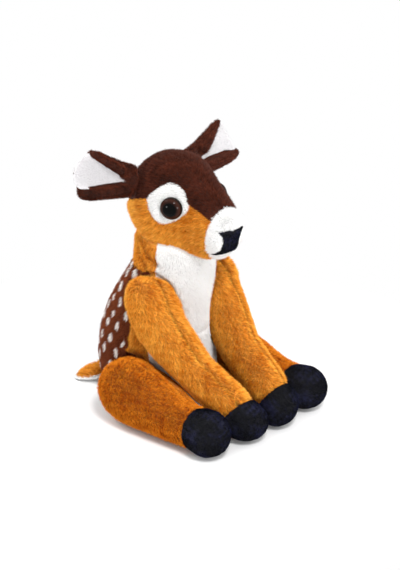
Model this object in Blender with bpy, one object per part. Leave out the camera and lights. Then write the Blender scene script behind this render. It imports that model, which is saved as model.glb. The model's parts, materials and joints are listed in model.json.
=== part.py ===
"""A seated plush deer, modelled as it is sewn, stuffed and put together.

Metres, +Z up. The deer sits on the XY plane and faces -Y, so its right side is -X.
"""
import math

import bmesh
import bpy
from mathutils import Matrix, Vector

for stale in list(bpy.data.objects):
    bpy.data.objects.remove(stale, do_unlink=True)

# Cloth, filling and clearances
COVER = 0.003
SEAM_GAP = 0.0003
FILLING_GAP = 0.0005
JOINT_GAP = 0.0005
FLAT_DEPTH = 0.0005
PRESS_GAP = 0.0015
CUT_OVERRUN = 0.03

# Torso: a pear with a neck on top
TORSO_HEIGHT = 0.185
TORSO_HALF_WIDTH = 0.048
TORSO_FRONT = 0.061
TORSO_BACK = 0.0600
NECK_FORWARD = 0.025
NECK_BALL_FORWARD = 0.018
NECK_BALL_HEIGHT = 0.132
NECK_BALL_RADIUS = 0.046
NECK_PLUG_RADIUS = 0.0210
NECK_PLUG_DEPTH = 0.014

# Head: lofted from its back to its nose
HEAD_LENGTH = 0.115
HEAD_BACK = 0.0165
HEAD_ABOVE_NECK = 0.065
HEAD_HALF_WIDTH = 0.0435
HEAD_RISE = 0.0445
HEAD_DROP = 0.054
NOSE_HALF_WIDTH = 0.0175
NOSE_HALF_HEIGHT = 0.0115
NOSE_BELOW_HEAD = 0.0245

# Safety eyes and their lock washers
EYE_RADIUS = 0.0100
EYE_RISE = 0.0060
EYE_APART_SHARE = 0.7011
EYE_ALONG_SHARE = 0.5826
EYE_RISE_SHARE = 0.0562
EYE_YAW = math.radians(63.0)
EYE_PATCH_LENGTH = 0.0380
EYE_PATCH_HEIGHT = 0.0366
SHANK_RADIUS = 0.0020
SHANK_RIB_RISE = 0.0007
SHANK_RIB_PITCH = 0.0016
SHANK_RIBS = 5
WASHER_RADIUS = 0.0075
WASHER_PLATE = 0.0008
WASHER_DISH = 0.0010
WASHER_BORE_CLEARANCE = 0.0004
WASHER_SLOT = 0.0008
WASHER_TEETH = 6
WASHER_RIBS = 5
RIB_LIP_SHARE = 0.55
WASHER_FLAT_SHARE = 0.6

# Ears: leaves held at a narrow base
EAR_LENGTH = 0.0630
EAR_HALF_WIDTH = 0.0198
EAR_APART_SHARE = 0.8621
EAR_ALONG_SHARE = 0.2130
EAR_RISE_SHARE = 0.4607
EAR_BASE_RADIUS = 0.0050
EAR_LINING = 0.0015
EAR_CUP = 0.0085
EAR_ALONG = Vector((0.942, 0.091, 0.322))
EAR_ACROSS = Vector((-0.333, 0.160, 0.930))

# Front legs
SHOULDER_APART = 0.0440
SHOULDER_FORWARD = 0.0340
SHOULDER_HEIGHT = 0.1130
SHOULDER_RADIUS = 0.0245
FRONT_HOOF_APART = 0.0227
FRONT_HOOF_FORWARD = 0.1310
FRONT_HOOF_RADIUS = 0.0205
FRONT_LEG_DEPTH = 0.0240
FRONT_LEG_WIDTH = 0.0210
LIFT_TURNS = (math.radians(7.5), math.radians(15.0), math.radians(22.5), math.radians(30.0))

# Hind legs
HIP_APART = 0.0600
HIP_FORWARD = 0.0180
HIP_HEIGHT = 0.0305
HIP_RADIUS = 0.0300
HIND_HOOF_APART = 0.0660
HIND_HOOF_FORWARD = 0.1265
HIND_HOOF_RADIUS = 0.0216
THIGH_DEPTH = 0.0312
THIGH_WIDTH = 0.0305

# Tail
TAIL_LENGTH = 0.0440
TAIL_HALF_WIDTH = 0.0135
TAIL_THICKNESS = 0.0060
TAIL_UNDERSIDE_EXTRA = 0.0050
TAIL_ROOT_BACK = 0.0512
TAIL_ROOT_HEIGHT = 0.0140
TAIL_ROOT_RADIUS = 0.0144
TAIL_TURN = math.radians(52.0)
TAIL_DIP = math.radians(13.5)

# Columns, segments and steps
SHARP_ANGLE = math.radians(50.0)
SIDE_COLUMNS = 2
CHEST_COLUMNS = 8
BACK_COLUMNS = 5
CHEEK_COLUMNS = 6
CROWN_COLUMNS = 10
PATCH_CROWN_COLUMNS = 4
LEG_COLUMNS = 12
EAR_COLUMNS = 8
TAIL_COLUMNS = 6
BALL_SEGMENTS = 32
ROUND_SEGMENTS = 24
TAIL_BALL_SEGMENTS = 16
DOME_STEPS = 6
NECK_DOME_STEPS = 8
PATCH_STEPS = 2
TORSO_SQUARE_SHARE = 1.1
HEAD_SQUARE_SHARE = 1.025

# Height, lean forward, half width, front and back of the torso
TORSO_SHARES = (
    (0.000, 0.00, 0.60, 0.70, 0.66),
    (0.032, 0.00, 0.80, 0.86, 0.83),
    (0.100, 0.00, 0.94, 0.97, 0.96),
    (0.195, 0.00, 1.00, 1.00, 1.00),
    (0.300, 0.04, 0.99, 0.95, 1.00),
    (0.416, 0.20, 0.95, 0.85, 0.96),
    (0.540, 0.40, 0.875, 0.77, 0.87),
    (0.650, 0.72, 0.83, 0.67, 0.75),
    (0.757, 0.96, 0.77, 0.61, 0.62),
    (0.840, 1.00, 0.75, 0.59, 0.60),
    (1.000, 1.00, 0.75, 0.59, 0.60),
)
# Front height, back height, white half angle and back panel's half angle of each row
TORSO_ROW_SHARES = (
    (0.000, 0.000, 0.30, 0.47),
    (0.040, 0.040, 0.31, 0.47),
    (0.110, 0.110, 0.32, 0.475),
    (0.195, 0.215, 0.33, 0.475),
    (0.300, 0.355, 0.345, 0.48),
    (0.416, 0.500, 0.365, 0.485),
    (0.490, 0.620, 0.385, 0.47),
    (0.551, 0.750, 0.405, 0.43),
    (0.660, 0.825, 0.42, 0.46),
    (0.780, 0.900, 0.43, 0.47),
    (1.000, 1.000, 0.43, 0.47),
)
GUSSET_STEPS = 2
BELLY_STEPS = 5
SHOULDER_STEPS = 7
TORSO_STEPS = 10

# Place, drop of the centre, half width, rise, drop, seam height and top's lean of each head row
HEAD_SHARES = (
    (0.0124, 0.045, 0.290, 0.300, 0.222, 0.00, 0.00),
    (0.058, 0.022, 0.560, 0.580, 0.426, 0.00, 0.00),
    (0.145, 0.000, 0.816, 0.809, 0.630, 0.04, 0.00),
    (0.244, 0.000, 0.954, 0.965, 0.815, 0.12, 0.00),
    (0.370, 0.000, 1.000, 1.000, 0.963, 0.20, 0.00),
    (0.482, 0.000, 0.890, 0.965, 1.000, 0.22, 0.00),
    (0.590, 0.022, 0.695, 0.862, 0.926, 0.26, 0.01),
    (0.692, 0.112, 0.590, 0.700, 0.787, 0.38, 0.02),
    (0.802, 0.270, 0.548, 0.555, 0.639, 0.50, 0.035),
    (0.860, 0.404, 0.520, 0.515, 0.509, 0.58, 0.050),
    (0.925, 0.430, 0.480, 0.483, 0.444, 0.58, 0.035),
    (0.970, 0.425, 0.390, 0.348, 0.324, 0.58, 0.020),
)
FACE_STEPS = 9
NOSE_DROP_SHARE = 0.405

# Along and above the line from the shoulder to the hoof, depth and width of each row
FRONT_LEG_SHARES = (
    (-0.120, -0.112, 0.40, 0.44),
    (-0.080, -0.070, 0.78, 0.76),
    (-0.020, -0.018, 0.99, 0.95),
    (0.065, 0.032, 1.00, 1.00),
    (0.187, 0.060, 1.06, 1.04),
    (0.350, 0.074, 0.98, 1.00),
    (0.527, 0.084, 0.84, 0.95),
    (0.691, 0.052, 0.81, 0.94),
    (0.820, 0.016, 0.78, 0.92),
    (0.913, 0.000, 0.73, 0.87),
)
FRONT_LEG_TOP_SHARES = (-0.127, -0.122)

# Along and above the line from the hip to the hoof, depth and width of each row
HIND_LEG_SHARES = (
    (-0.200, -0.010, 0.40, 0.40),
    (-0.130, -0.006, 0.71, 0.71),
    (-0.010, -0.002, 0.93, 0.92),
    (0.140, -0.004, 1.00, 1.00),
    (0.290, -0.006, 0.97, 0.97),
    (0.440, 0.000, 0.865, 0.88),
    (0.600, 0.018, 0.745, 0.78),
    (0.740, 0.022, 0.665, 0.70),
    (0.860, 0.010, 0.620, 0.64),
)
HIND_LEG_TOP_SHARES = (-0.222, -0.012)

# Along and across the leg, as shares of the hoof's radius, of the rows of a hoof
HOOF_SHARES = (-0.28, 0.02, 0.36, 0.66, 0.88)

# Across and up from the eye, as shares of the patch's length and height
EYE_PATCH_SHARES = (
    (0.410, 0.016), (0.290, 0.407), (0.116, 0.536), (-0.095, 0.590), (-0.410, 0.418),
    (-0.587, 0.213), (-0.568, -0.005), (-0.480, -0.216), (-0.324, -0.399), (-0.095, -0.410),
    (0.116, -0.311), (0.290, -0.150),
)
# Across and up of the nose's right half, as shares of its half width and half height
NOSE_SHARES = (
    (0.00, 0.86), (0.45, 0.90), (0.92, 1.00), (0.84, 0.45), (0.68, 0.05), (0.80, -0.45),
    (1.06, -0.94), (0.55, -1.06), (0.00, -1.10),
)
# Along the ear, half width, half thickness of its back and cup of its rows
EAR_SHARES = (
    (0.10, 0.72, 0.88, 0.05),
    (0.22, 0.74, 0.60, 0.20),
    (0.40, 0.84, 0.36, 0.55),
    (0.60, 0.95, 0.28, 0.85),
    (0.80, 1.02, 0.25, 1.00),
    (1.00, 0.99, 0.22, 1.00),
)
EAR_BARE_STEPS = 1
EAR_LINING_SHARES = (0.16, 0.56, 0.78, 0.84, 0.86)
EAR_TIP_ROUND_SHARE = 0.12
EAR_TIP_SKEW_SHARE = 0.05
EAR_BASE_WIDTH_SHARE = 0.70
EAR_CUP_MIDDLE_SHARE = 0.5
EAR_ROOT_TURNS = (math.radians(75.0), math.radians(45.0), math.radians(15.0))
TAIL_ROOT_SHARE = 0.24
TAIL_POLE_RISE_SHARE = 0.2
TAIL_EXTRA_WIDTH_SHARE = 0.2
# Along the tail, half width and thickness of its rows
TAIL_SHARES = (
    (-0.16, 0.42, 0.55), (0.00, 0.56, 0.90), (0.20, 0.56, 0.95), (0.43, 0.92, 1.00), (0.68, 0.96, 0.85),
    (0.88, 0.64, 0.55),
)


def named_material(name, colour, roughness):
    """A plain Principled material."""
    found = bpy.data.materials.get(name)
    if found:
        return found
    made = bpy.data.materials.new(name)
    made.use_nodes = True
    shader = made.node_tree.nodes["Principled BSDF"]
    shader.inputs["Base Color"].default_value = (*colour, 1.0)
    shader.inputs["Roughness"].default_value = roughness
    shader.inputs["Metallic"].default_value = 0.0
    made.diffuse_color = (*colour, 1.0)
    return made


def pivot(name, place, parent=None):
    """An empty on a joint's axis, which carries the pieces that turn about it."""
    empty = bpy.data.objects.new(name, None)
    bpy.context.scene.collection.objects.link(empty)
    empty.parent = parent
    empty.location = place - (carried_place(parent) if parent else Vector())
    return empty


def carried_place(empty):
    """Where an empty sits in the world, since none is turned."""
    place = Vector()
    while empty:
        place += empty.location
        empty = empty.parent
    return place


def add_piece(name, mesh_data, carrier, look):
    """Link a piece whose points are given in the world, with its origin on its carrier."""
    bmesh.ops.translate(mesh_data, verts=mesh_data.verts, vec=-carried_place(carrier))
    bmesh.ops.recalc_face_normals(mesh_data, faces=mesh_data.faces)
    mesh = bpy.data.meshes.new(name)
    mesh_data.to_mesh(mesh)
    mesh_data.free()
    mesh.shade_smooth()
    mesh.set_sharp_from_angle(angle=SHARP_ANGLE)
    piece = bpy.data.objects.new(name, mesh)
    bpy.context.scene.collection.objects.link(piece)
    piece.parent = carrier
    if look:
        mesh.materials.append(look)
    return piece


def add_cutter(name, mesh_data):
    """Link a solid that only cuts others."""
    cutter = add_piece(name, mesh_data, None, None)
    cutter.hide_render = True
    cutter.display_type = "WIRE"
    return cutter


def carve(piece, cutter, operation="DIFFERENCE"):
    """Cut a piece by another solid."""
    modifier = piece.modifiers.new(cutter.name, "BOOLEAN")
    modifier.object = cutter
    modifier.operation = operation
    modifier.solver = "EXACT"


def blend(table, height):
    """The table's other columns at that first column, on a smooth curve through its rows."""
    last = len(table) - 1
    step = 0
    while step < last - 1 and height > table[step + 1][0]:
        step += 1
    low, high = table[step], table[step + 1]
    before, after = table[max(step - 1, 0)], table[min(step + 2, last)]
    span = high[0] - low[0]
    way = (height - low[0]) / span
    mixed = []
    for column in range(1, len(low)):
        low_slope = (high[column] - before[column]) / (high[0] - before[0]) * span
        high_slope = (after[column] - low[column]) / (after[0] - low[0]) * span
        square, cube = way * way, way * way * way
        mixed.append(
            (1 - 3 * square + 2 * cube) * low[column]
            + (way - 2 * square + cube) * low_slope
            + (3 * square - 2 * cube) * high[column]
            + (cube - square) * high_slope
        )
    return mixed


def rounded(angle, square_share):
    """Sine and cosine on a slightly squared circle."""
    power = 1 / square_share
    sine = math.copysign(abs(math.sin(angle)) ** power, math.sin(angle))
    cosine = math.copysign(abs(math.cos(angle)) ** power, math.cos(angle))
    return sine, cosine


def spread(first, last, count):
    """Evenly spaced values from first up to, but without, last."""
    return [first + (last - first) * step / count for step in range(count)]


class Form:
    """A closed stuffed form: rows of points around it and a pole at each end."""

    def __init__(self, rows, start, end):
        self.rows = rows
        self.start = start
        self.end = end
        self.middles = [sum(row, Vector()) / len(row) for row in rows]
        self.normals = [self.row_normals(index) for index in range(len(rows))]

    def row_normals(self, index):
        row = self.rows[index]
        count = len(row)
        before = self.rows[index - 1] if index else [self.start] * count
        after = self.rows[index + 1] if index < len(self.rows) - 1 else [self.end] * count
        normals = []
        for column in range(count):
            around = row[(column + 1) % count] - row[column - 1]
            along = after[column] - before[column]
            normal = around.cross(along).normalized()
            outward = row[column] - self.middles[index]
            normals.append(normal if normal.dot(outward) > 0 else -normal)
        return normals

    def layer(self, depth):
        """The form's points, moved inwards by depth."""
        rows = [
            [point - normal * depth for point, normal in zip(row, normals)]
            for row, normals in zip(self.rows, self.normals)
        ]
        start = self.start - (self.start - self.middles[0]).normalized() * depth
        end = self.end - (self.end - self.middles[-1]).normalized() * depth
        return rows, start, end

    def solid(self, depth):
        """The whole form as one closed solid, moved inwards by depth."""
        rows, start, end = self.layer(depth)
        built = bmesh.new()
        loops = [[built.verts.new(point) for point in row] for row in rows]
        for low, high in zip(loops, loops[1:]):
            bridge(built, low, high, closed=True)
        fan(built, loops[0], built.verts.new(start), closed=True)
        fan(built, loops[-1], built.verts.new(end), closed=True)
        return built

    def panel(self, first, last, left=None, right=None, depth=0.0, thickness=COVER):
        """A cover panel between two rows and two columns, or all round. A row of None is the pole."""
        around = left is None
        count = len(self.rows[0])
        columns = range(count) if around else [column % count for column in range(left, right + 1)]
        top = len(self.rows) - 1 if last is None else last
        bottom = 0 if first is None else first
        built = bmesh.new()
        skins = []
        for level in (depth, depth + thickness):
            rows, start, end = self.layer(level)
            grid = [[rows[row][column].copy() for column in columns] for row in range(bottom, top + 1)]
            if first is not None:
                draw_in(grid[0], grid[1])
            if last is not None:
                draw_in(grid[-1], grid[-2])
            if not around:
                for row in grid:
                    row[0] += (row[1] - row[0]).normalized() * SEAM_GAP / 2
                    row[-1] += (row[-2] - row[-1]).normalized() * SEAM_GAP / 2
            loops = [[built.verts.new(point) for point in row] for row in grid]
            for low, high in zip(loops, loops[1:]):
                bridge(built, low, high, around)
            poles = []
            for row, pole, open_end in ((0, start, first), (-1, end, last)):
                if open_end is None:
                    middle = sum(grid[row], Vector()) / len(grid[row])
                    shift = Vector() if around else (middle - pole).normalized() * SEAM_GAP
                    poles.append(built.verts.new(pole + shift))
                    fan(built, loops[row], poles[-1], around)
                else:
                    poles.append(None)
            skins.append((loops, poles))
        (outer, outer_poles), (inner, inner_poles) = skins
        for row, pole in ((0, 0), (-1, 1)):
            if outer_poles[pole] is None:
                bridge(built, outer[row], inner[row], around)
        if not around:
            for column in (0, -1):
                outer_edge = [loop[column] for loop in outer]
                inner_edge = [loop[column] for loop in inner]
                for edge, ends in ((outer_edge, outer_poles), (inner_edge, inner_poles)):
                    if ends[0]:
                        edge.insert(0, ends[0])
                    if ends[1]:
                        edge.append(ends[1])
                bridge(built, outer_edge, inner_edge, False)
        return built


def draw_in(row, inward):
    """Move a panel's edge row inwards by half a seam gap."""
    for index, point in enumerate(inward):
        row[index] += (point - row[index]).normalized() * SEAM_GAP / 2


def bridge(built, low, high, closed):
    """Faces between two rows of vertices."""
    count = len(low)
    for index in range(count if closed else count - 1):
        after = (index + 1) % count
        built.faces.new((low[index], low[after], high[after], high[index]))


def fan(built, row, tip, closed):
    """Faces from a row of vertices to one vertex."""
    count = len(row)
    for index in range(count if closed else count - 1):
        built.faces.new((row[index], row[(index + 1) % count], tip))


def turned(profile, segments):
    """A solid turned about Z from radius and height pairs, both ends closed."""
    built = bmesh.new()
    loops = []
    for radius, height in profile:
        loops.append([
            built.verts.new((radius * math.cos(turn), radius * math.sin(turn), height))
            for turn in spread(0.0, math.tau, segments)
        ])
    for low, high in zip(loops, loops[1:]):
        bridge(built, low, high, closed=True)
    built.faces.new(loops[0])
    built.faces.new(loops[-1])
    return built


def ball(centre, radius, segments=BALL_SEGMENTS):
    """A ball whose corners lie on the radius."""
    built = bmesh.new()
    place = Matrix.Translation(centre)
    bmesh.ops.create_uvsphere(
        built, u_segments=segments, v_segments=segments // 2, radius=radius, matrix=place)
    return built


def around_ball(radius, segments=BALL_SEGMENTS):
    """The radius of a faceted ball that clears a round one."""
    return radius / math.cos(math.pi / segments) ** 2


def box(low, high):
    """A box between two corners."""
    built = bmesh.new()
    bmesh.ops.create_cube(built, size=1.0)
    size = high - low
    bmesh.ops.scale(built, verts=built.verts, vec=size)
    bmesh.ops.translate(built, verts=built.verts, vec=(low + high) / 2)
    return built


def prism(outline, frame, depth):
    """An outline in a frame's XY plane, extruded both ways along its Z."""
    built = bmesh.new()
    loops = []
    for level in (-depth, depth):
        loops.append([built.verts.new(frame @ Vector((across, up, level))) for across, up in outline])
    bridge(built, loops[0], loops[1], closed=True)
    built.faces.new(loops[0])
    built.faces.new(loops[1])
    return built


def smooth_loop(points, steps):
    """A closed smooth curve through the points."""
    count = len(points)
    curve = []
    for index in range(count):
        before, low, high, after = (Vector(points[(index + shift) % count]) for shift in (-1, 0, 1, 2))
        for way in spread(0.0, 1.0, steps):
            square, cube = way * way, way * way * way
            curve.append(tuple(
                (low * (2 - 5 * square + 3 * cube) + high * (way + 4 * square - 3 * cube)
                 + before * (2 * square - way - cube) + after * (cube - square)) / 2
            ))
    return curve


def torso_point(angle, height):
    """A point of the torso: angle 0 is the front, and it grows towards the left."""
    lean, width, front, back = blend(TORSO_SHARES, height)
    sine, cosine = rounded(angle, TORSO_SQUARE_SHARE)
    reach = front * TORSO_FRONT if cosine > 0 else back * TORSO_BACK
    return Vector((
        width * TORSO_HALF_WIDTH * sine,
        -lean * NECK_FORWARD - reach * cosine,
        height * TORSO_HEIGHT,
    ))


def torso_form():
    """The torso and neck, with columns that follow the white panel and the back panel."""
    rows = []
    for front, back, white, brown in TORSO_ROW_SHARES:
        white_edge, brown_edge = white * math.pi, brown * math.pi
        angles = (
            spread(-math.pi, -brown_edge, BACK_COLUMNS)
            + spread(-brown_edge, -white_edge, SIDE_COLUMNS)
            + spread(-white_edge, white_edge, CHEST_COLUMNS)
            + spread(white_edge, brown_edge, SIDE_COLUMNS)
            + spread(brown_edge, math.pi, BACK_COLUMNS)
        )
        row = []
        for angle in angles:
            backness = (1 - math.cos(angle)) / 2
            row.append(torso_point(angle, front + (back - front) * backness))
        rows.append(row)
    low, high = rows[0], rows[-1]
    below = sum(low, Vector()) / len(low) - Vector((0.0, 0.0, TORSO_HALF_WIDTH))
    return Form(rows, below, sum(high, Vector()) / len(high))


def on_head(side, apart_share, along_share, rise_share):
    """A place given by shares of the head's half width, length and rise."""
    return Vector((
        side * apart_share * HEAD_HALF_WIDTH,
        HEAD_BACK - along_share * HEAD_LENGTH,
        head_height() + rise_share * HEAD_RISE,
    ))


def head_height():
    return NECK_BALL_HEIGHT + HEAD_ABOVE_NECK


def head_form():
    """The head, with columns that follow the seam between crown and cheeks."""
    rows = []
    for along, drop, width, rise, fall, seam, lean in HEAD_SHARES:
        edge = math.acos(seam ** HEAD_SQUARE_SHARE)
        angles = (
            spread(-math.pi, -edge, CHEEK_COLUMNS)
            + spread(-edge, edge, CROWN_COLUMNS)
            + spread(edge, math.pi, CHEEK_COLUMNS)
        )
        row = []
        for angle in angles:
            sine, cosine = rounded(angle, HEAD_SQUARE_SHARE)
            up = rise * HEAD_RISE if cosine > 0 else fall * HEAD_DROP
            row.append(Vector((
                width * HEAD_HALF_WIDTH * sine,
                HEAD_BACK - (along + lean * cosine) * HEAD_LENGTH,
                head_height() - drop * HEAD_RISE + up * cosine,
            )))
        rows.append(row)
    back = on_head(0.0, 0.0, 0.0, -HEAD_SHARES[0][1])
    nose = on_head(0.0, 0.0, 1.0, -NOSE_DROP_SHARE)
    return Form(rows, back, nose)


def station(hinge, hoof, along, bow):
    """A place on a leg's middle line."""
    line = hoof - hinge
    above = Vector((0.0, line.z, -line.y))
    return hinge + line * along - above * bow


def limb_form(hinge, hoof, hoof_radius, leg_shares, top_shares, depth, width):
    """A leg from its top pole to its hoof's pole. Column 0 runs down its front and upper side."""
    places = [station(hinge, hoof, along, bow) for along, bow, _, _ in leg_shares]
    sizes = [(depth * deep, width * wide) for _, _, deep, wide in leg_shares]
    top = station(hinge, hoof, *top_shares)
    ankle = places[-1]
    for share in HOOF_SHARES:
        across = math.sqrt(1 - share * share) * hoof_radius
        places.append(hoof + (hoof - ankle).normalized() * share * hoof_radius)
        sizes.append((across, across))
    end = hoof + (hoof - ankle).normalized() * hoof_radius
    chain = [top] + places + [end]
    rows = []
    for index, (place, (deep, wide)) in enumerate(zip(places, sizes)):
        heading = chain[index + 2] - chain[index]
        upper = Vector((0.0, heading.z, -heading.y)).normalized()
        row = []
        for angle in spread(0.0, math.tau, LEG_COLUMNS):
            row.append(place + upper * math.cos(angle) * deep + Vector((math.sin(angle) * wide, 0.0, 0.0)))
        rows.append(row)
    return Form(rows, top, end)


def eye_frame(side):
    """The eye's seat: Z points out of the head, X towards the nose."""
    out = Vector((side * math.sin(EYE_YAW), -math.cos(EYE_YAW), 0.0))
    towards_nose = Vector((-side * math.cos(EYE_YAW), -math.sin(EYE_YAW), 0.0))
    up = out.cross(towards_nose)
    frame = Matrix((towards_nose, up, out)).transposed().to_4x4()
    return Matrix.Translation(on_head(side, EYE_APART_SHARE, EYE_ALONG_SHARE, EYE_RISE_SHARE)) @ frame


def shank_end():
    """How far the shank reaches behind the eye's back."""
    return COVER + WASHER_PLATE + SHANK_RIB_PITCH * SHANK_RIBS


def eye_solid():
    """A domed eye with a ribbed shank behind its flat back."""
    profile = [(SHANK_RADIUS, -shank_end())]
    first_rib = shank_end() - SHANK_RIB_PITCH / 2
    for rib in range(SHANK_RIBS):
        level = -first_rib + rib * SHANK_RIB_PITCH
        profile.append((SHANK_RADIUS, level))
        profile.append((SHANK_RADIUS + SHANK_RIB_RISE, level + SHANK_RIB_PITCH / 2))
        profile.append((SHANK_RADIUS, level + SHANK_RIB_PITCH * RIB_LIP_SHARE))
    profile.append((SHANK_RADIUS, 0.0))
    profile.append((EYE_RADIUS - SHANK_RIB_RISE, 0.0))
    for angle in spread(0.0, math.pi / 2, DOME_STEPS):
        profile.append((EYE_RADIUS * math.cos(angle), SHANK_RIB_RISE + EYE_RISE * math.sin(angle)))
    profile.append((SHANK_RIB_RISE, SHANK_RIB_RISE + EYE_RISE))
    return turned(profile, ROUND_SEGMENTS)


def washer_level():
    """How far behind the eye's back the washer's plate begins."""
    return shank_end() - SHANK_RIB_PITCH * (WASHER_RIBS) + WASHER_DISH


def washer_solid():
    """A dished plate with a bore that clears the shank's core."""
    bore = SHANK_RADIUS + WASHER_BORE_CLEARANCE
    face = -washer_level()
    flat = WASHER_RADIUS * WASHER_FLAT_SHARE
    profile = (
        (WASHER_RADIUS, face), (WASHER_RADIUS, face - WASHER_PLATE), (flat, face - WASHER_PLATE),
        (bore, face - WASHER_PLATE - WASHER_DISH), (bore, face - WASHER_DISH), (flat, face),
    )
    built = bmesh.new()
    loops = []
    for radius, height in profile:
        loops.append([
            built.verts.new((radius * math.cos(turn), radius * math.sin(turn), height))
            for turn in spread(0.0, math.tau, ROUND_SEGMENTS)
        ])
    for low, high in zip(loops, loops[1:] + loops[:1]):
        bridge(built, low, high, closed=True)
    return built


def build_torso(root):
    """Cover panels, seat and filling of the torso, and the plug that fills the neck."""
    form = torso_form()
    chest_left = BACK_COLUMNS + SIDE_COLUMNS
    chest_right = chest_left + CHEST_COLUMNS
    right_edge, left_edge = BACK_COLUMNS, chest_right + SIDE_COLUMNS
    count = left_edge + BACK_COLUMNS
    panels = (
        ("chest_panel", WHITE, BELLY_STEPS, TORSO_STEPS, chest_left, chest_right),
        ("belly_panel", WHITE, 0, BELLY_STEPS, chest_left, chest_right),
        ("gusset_panel_right", ORANGE, 0, GUSSET_STEPS, right_edge, chest_left),
        ("gusset_panel_left", ORANGE, 0, GUSSET_STEPS, chest_right, left_edge),
        ("side_panel_right", ORANGE, GUSSET_STEPS, SHOULDER_STEPS, right_edge, chest_left),
        ("side_panel_left", ORANGE, GUSSET_STEPS, SHOULDER_STEPS, chest_right, left_edge),
        ("back_panel", RED_BROWN, 0, SHOULDER_STEPS, left_edge, count + right_edge),
        ("neck_panel_right", ORANGE, SHOULDER_STEPS, TORSO_STEPS, 0, chest_left),
        ("neck_panel_left", ORANGE, SHOULDER_STEPS, TORSO_STEPS, chest_right, count),
    )
    pieces = []
    for name, look, first, last, left, right in panels:
        pieces.append(add_piece(name, form.panel(first, last, left, right), root, look))
    filling = add_piece("torso_filling", form.solid(COVER + FILLING_GAP), root, FIBRE)
    carve(filling, cutters["neck_bore"])
    carve(filling, cutters["seat_room"])
    for piece in pieces:
        carve(piece, cutters["floor"])
    for piece in pieces + [filling]:
        carve(piece, cutters["above_neck_ball"])
        for side in ("right", "left"):
            for room in ("front_leg_room_", "front_leg_socket_", "hind_leg_room_", "hind_leg_socket_"):
                carve(piece, cutters[room + side])
            if piece.name in ("chest_panel", "torso_filling"):
                for step in range(len(LIFT_TURNS)):
                    carve(piece, cutters["front_leg_lift_" + side + str(step)])
    for piece in pieces + [filling]:
        if piece.name in ("back_panel", "torso_filling"):
            carve(piece, cutters["tail_pocket"])

    edge = [Vector((point.x, point.y, 0.0)) for point in form.layer(COVER + SEAM_GAP * 2)[0][0]]
    seat = bmesh.new()
    loops = [[seat.verts.new(point + Vector((0.0, 0.0, level))) for point in edge] for level in (0.0, COVER)]
    bridge(seat, loops[0], loops[1], closed=True)
    seat.faces.new(loops[0])
    seat.faces.new(loops[1])
    add_piece("seat_panel", seat, root, ORANGE)


def build_neck(carrier):
    """The neck's own stuffing: a round plug with a domed top, which the head sits on."""
    bottom = NECK_BALL_HEIGHT - NECK_PLUG_DEPTH
    rim = math.asin(NECK_PLUG_RADIUS / NECK_BALL_RADIUS)
    profile = [(NECK_PLUG_RADIUS, bottom)]
    for angle in spread(rim, 0.0, NECK_DOME_STEPS):
        across = NECK_BALL_RADIUS * math.sin(angle)
        profile.append((across, NECK_BALL_HEIGHT + NECK_BALL_RADIUS * math.cos(angle)))
    plug = turned(profile, BALL_SEGMENTS)
    bmesh.ops.translate(plug, verts=plug.verts, vec=(0.0, -NECK_BALL_FORWARD, 0.0))
    add_piece("neck_filling", plug, carrier, FIBRE)


def build_head(carrier):
    """Crown, cheeks, muzzle, nose and filling of the head."""
    form = head_form()
    left_seam = CHEEK_COLUMNS + CROWN_COLUMNS
    count = left_seam + CHEEK_COLUMNS
    crown = add_piece(
        "crown_panel", form.panel(None, FACE_STEPS, CHEEK_COLUMNS, left_seam), carrier, DARK_BROWN)
    cheeks = {}
    for side, first, last in ((-1, 0, CHEEK_COLUMNS), (1, left_seam, count)):
        cheek = form.panel(None, FACE_STEPS, first, last)
        cheeks[side] = add_piece("cheek_panel_" + SIDES[side], cheek, carrier, ORANGE)
    muzzle = add_piece("muzzle_panel", form.panel(FACE_STEPS, None), carrier, WHITE)
    carve(muzzle, cutters["nose_room"])
    nose = add_piece("nose_panel", form.panel(FACE_STEPS, None), carrier, BLACK)
    carve(nose, cutters["nose_shape"], "INTERSECT")
    filling = add_piece("head_filling", form.solid(COVER + FILLING_GAP), carrier, FIBRE)
    for piece in (crown, cheeks[-1], cheeks[1], filling):
        carve(piece, cutters["head_socket"])
    for side in SIDES:
        word = SIDES[side]
        first, last = 1, CHEEK_COLUMNS + PATCH_CROWN_COLUMNS
        if side > 0:
            first, last = count - last, count - first
        patch = add_piece("eye_patch_" + word, form.panel(1, FACE_STEPS, first, last), carrier, WHITE)
        carve(patch, cutters["patch_shape_" + word], "INTERSECT")
        carve(patch, cutters["eye_seat_" + word])
        carve(patch, cutters["shank_bore_" + word])
        carve(crown, cutters["patch_room_" + word])
        carve(cheeks[side], cutters["patch_room_" + word])
        carve(crown, cutters["ear_pocket_" + word])
        carve(cheeks[side], cutters["ear_pocket_" + word])
        carve(filling, cutters["eye_pocket_" + word])
        carve(filling, cutters["ear_pocket_" + word])
        build_eye(carrier, side)


def build_eye(carrier, side):
    """A safety eye and the toothed washer that locks it behind the cloth."""
    word = SIDES[side]
    frame = eye_frame(side)
    eye = eye_solid()
    bmesh.ops.transform(eye, matrix=frame, verts=eye.verts)
    add_piece("eye_" + word, eye, carrier, EYE_BROWN)
    washer = washer_solid()
    bmesh.ops.transform(washer, matrix=frame, verts=washer.verts)
    lock = add_piece("eye_washer_" + word, washer, carrier, WASHER_WHITE)
    slots = bmesh.new()
    reach = WASHER_RADIUS / 2
    for turn in spread(0.0, math.tau, WASHER_TEETH):
        slot = box(
            Vector((0.0, -WASHER_SLOT / 2, -shank_end())), Vector((reach, WASHER_SLOT / 2, 0.0)))
        bmesh.ops.transform(slot, matrix=frame @ Matrix.Rotation(turn, 4, "Z"), verts=slot.verts)
        merge(slots, slot)
    carve(lock, add_cutter("washer_slots_" + word, slots))


def merge(target, extra):
    """Add one mesh's points and faces to another."""
    copies = {vertex: target.verts.new(vertex.co) for vertex in extra.verts}
    for face in extra.faces:
        target.faces.new([copies[vertex] for vertex in face.verts])
    extra.free()


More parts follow.
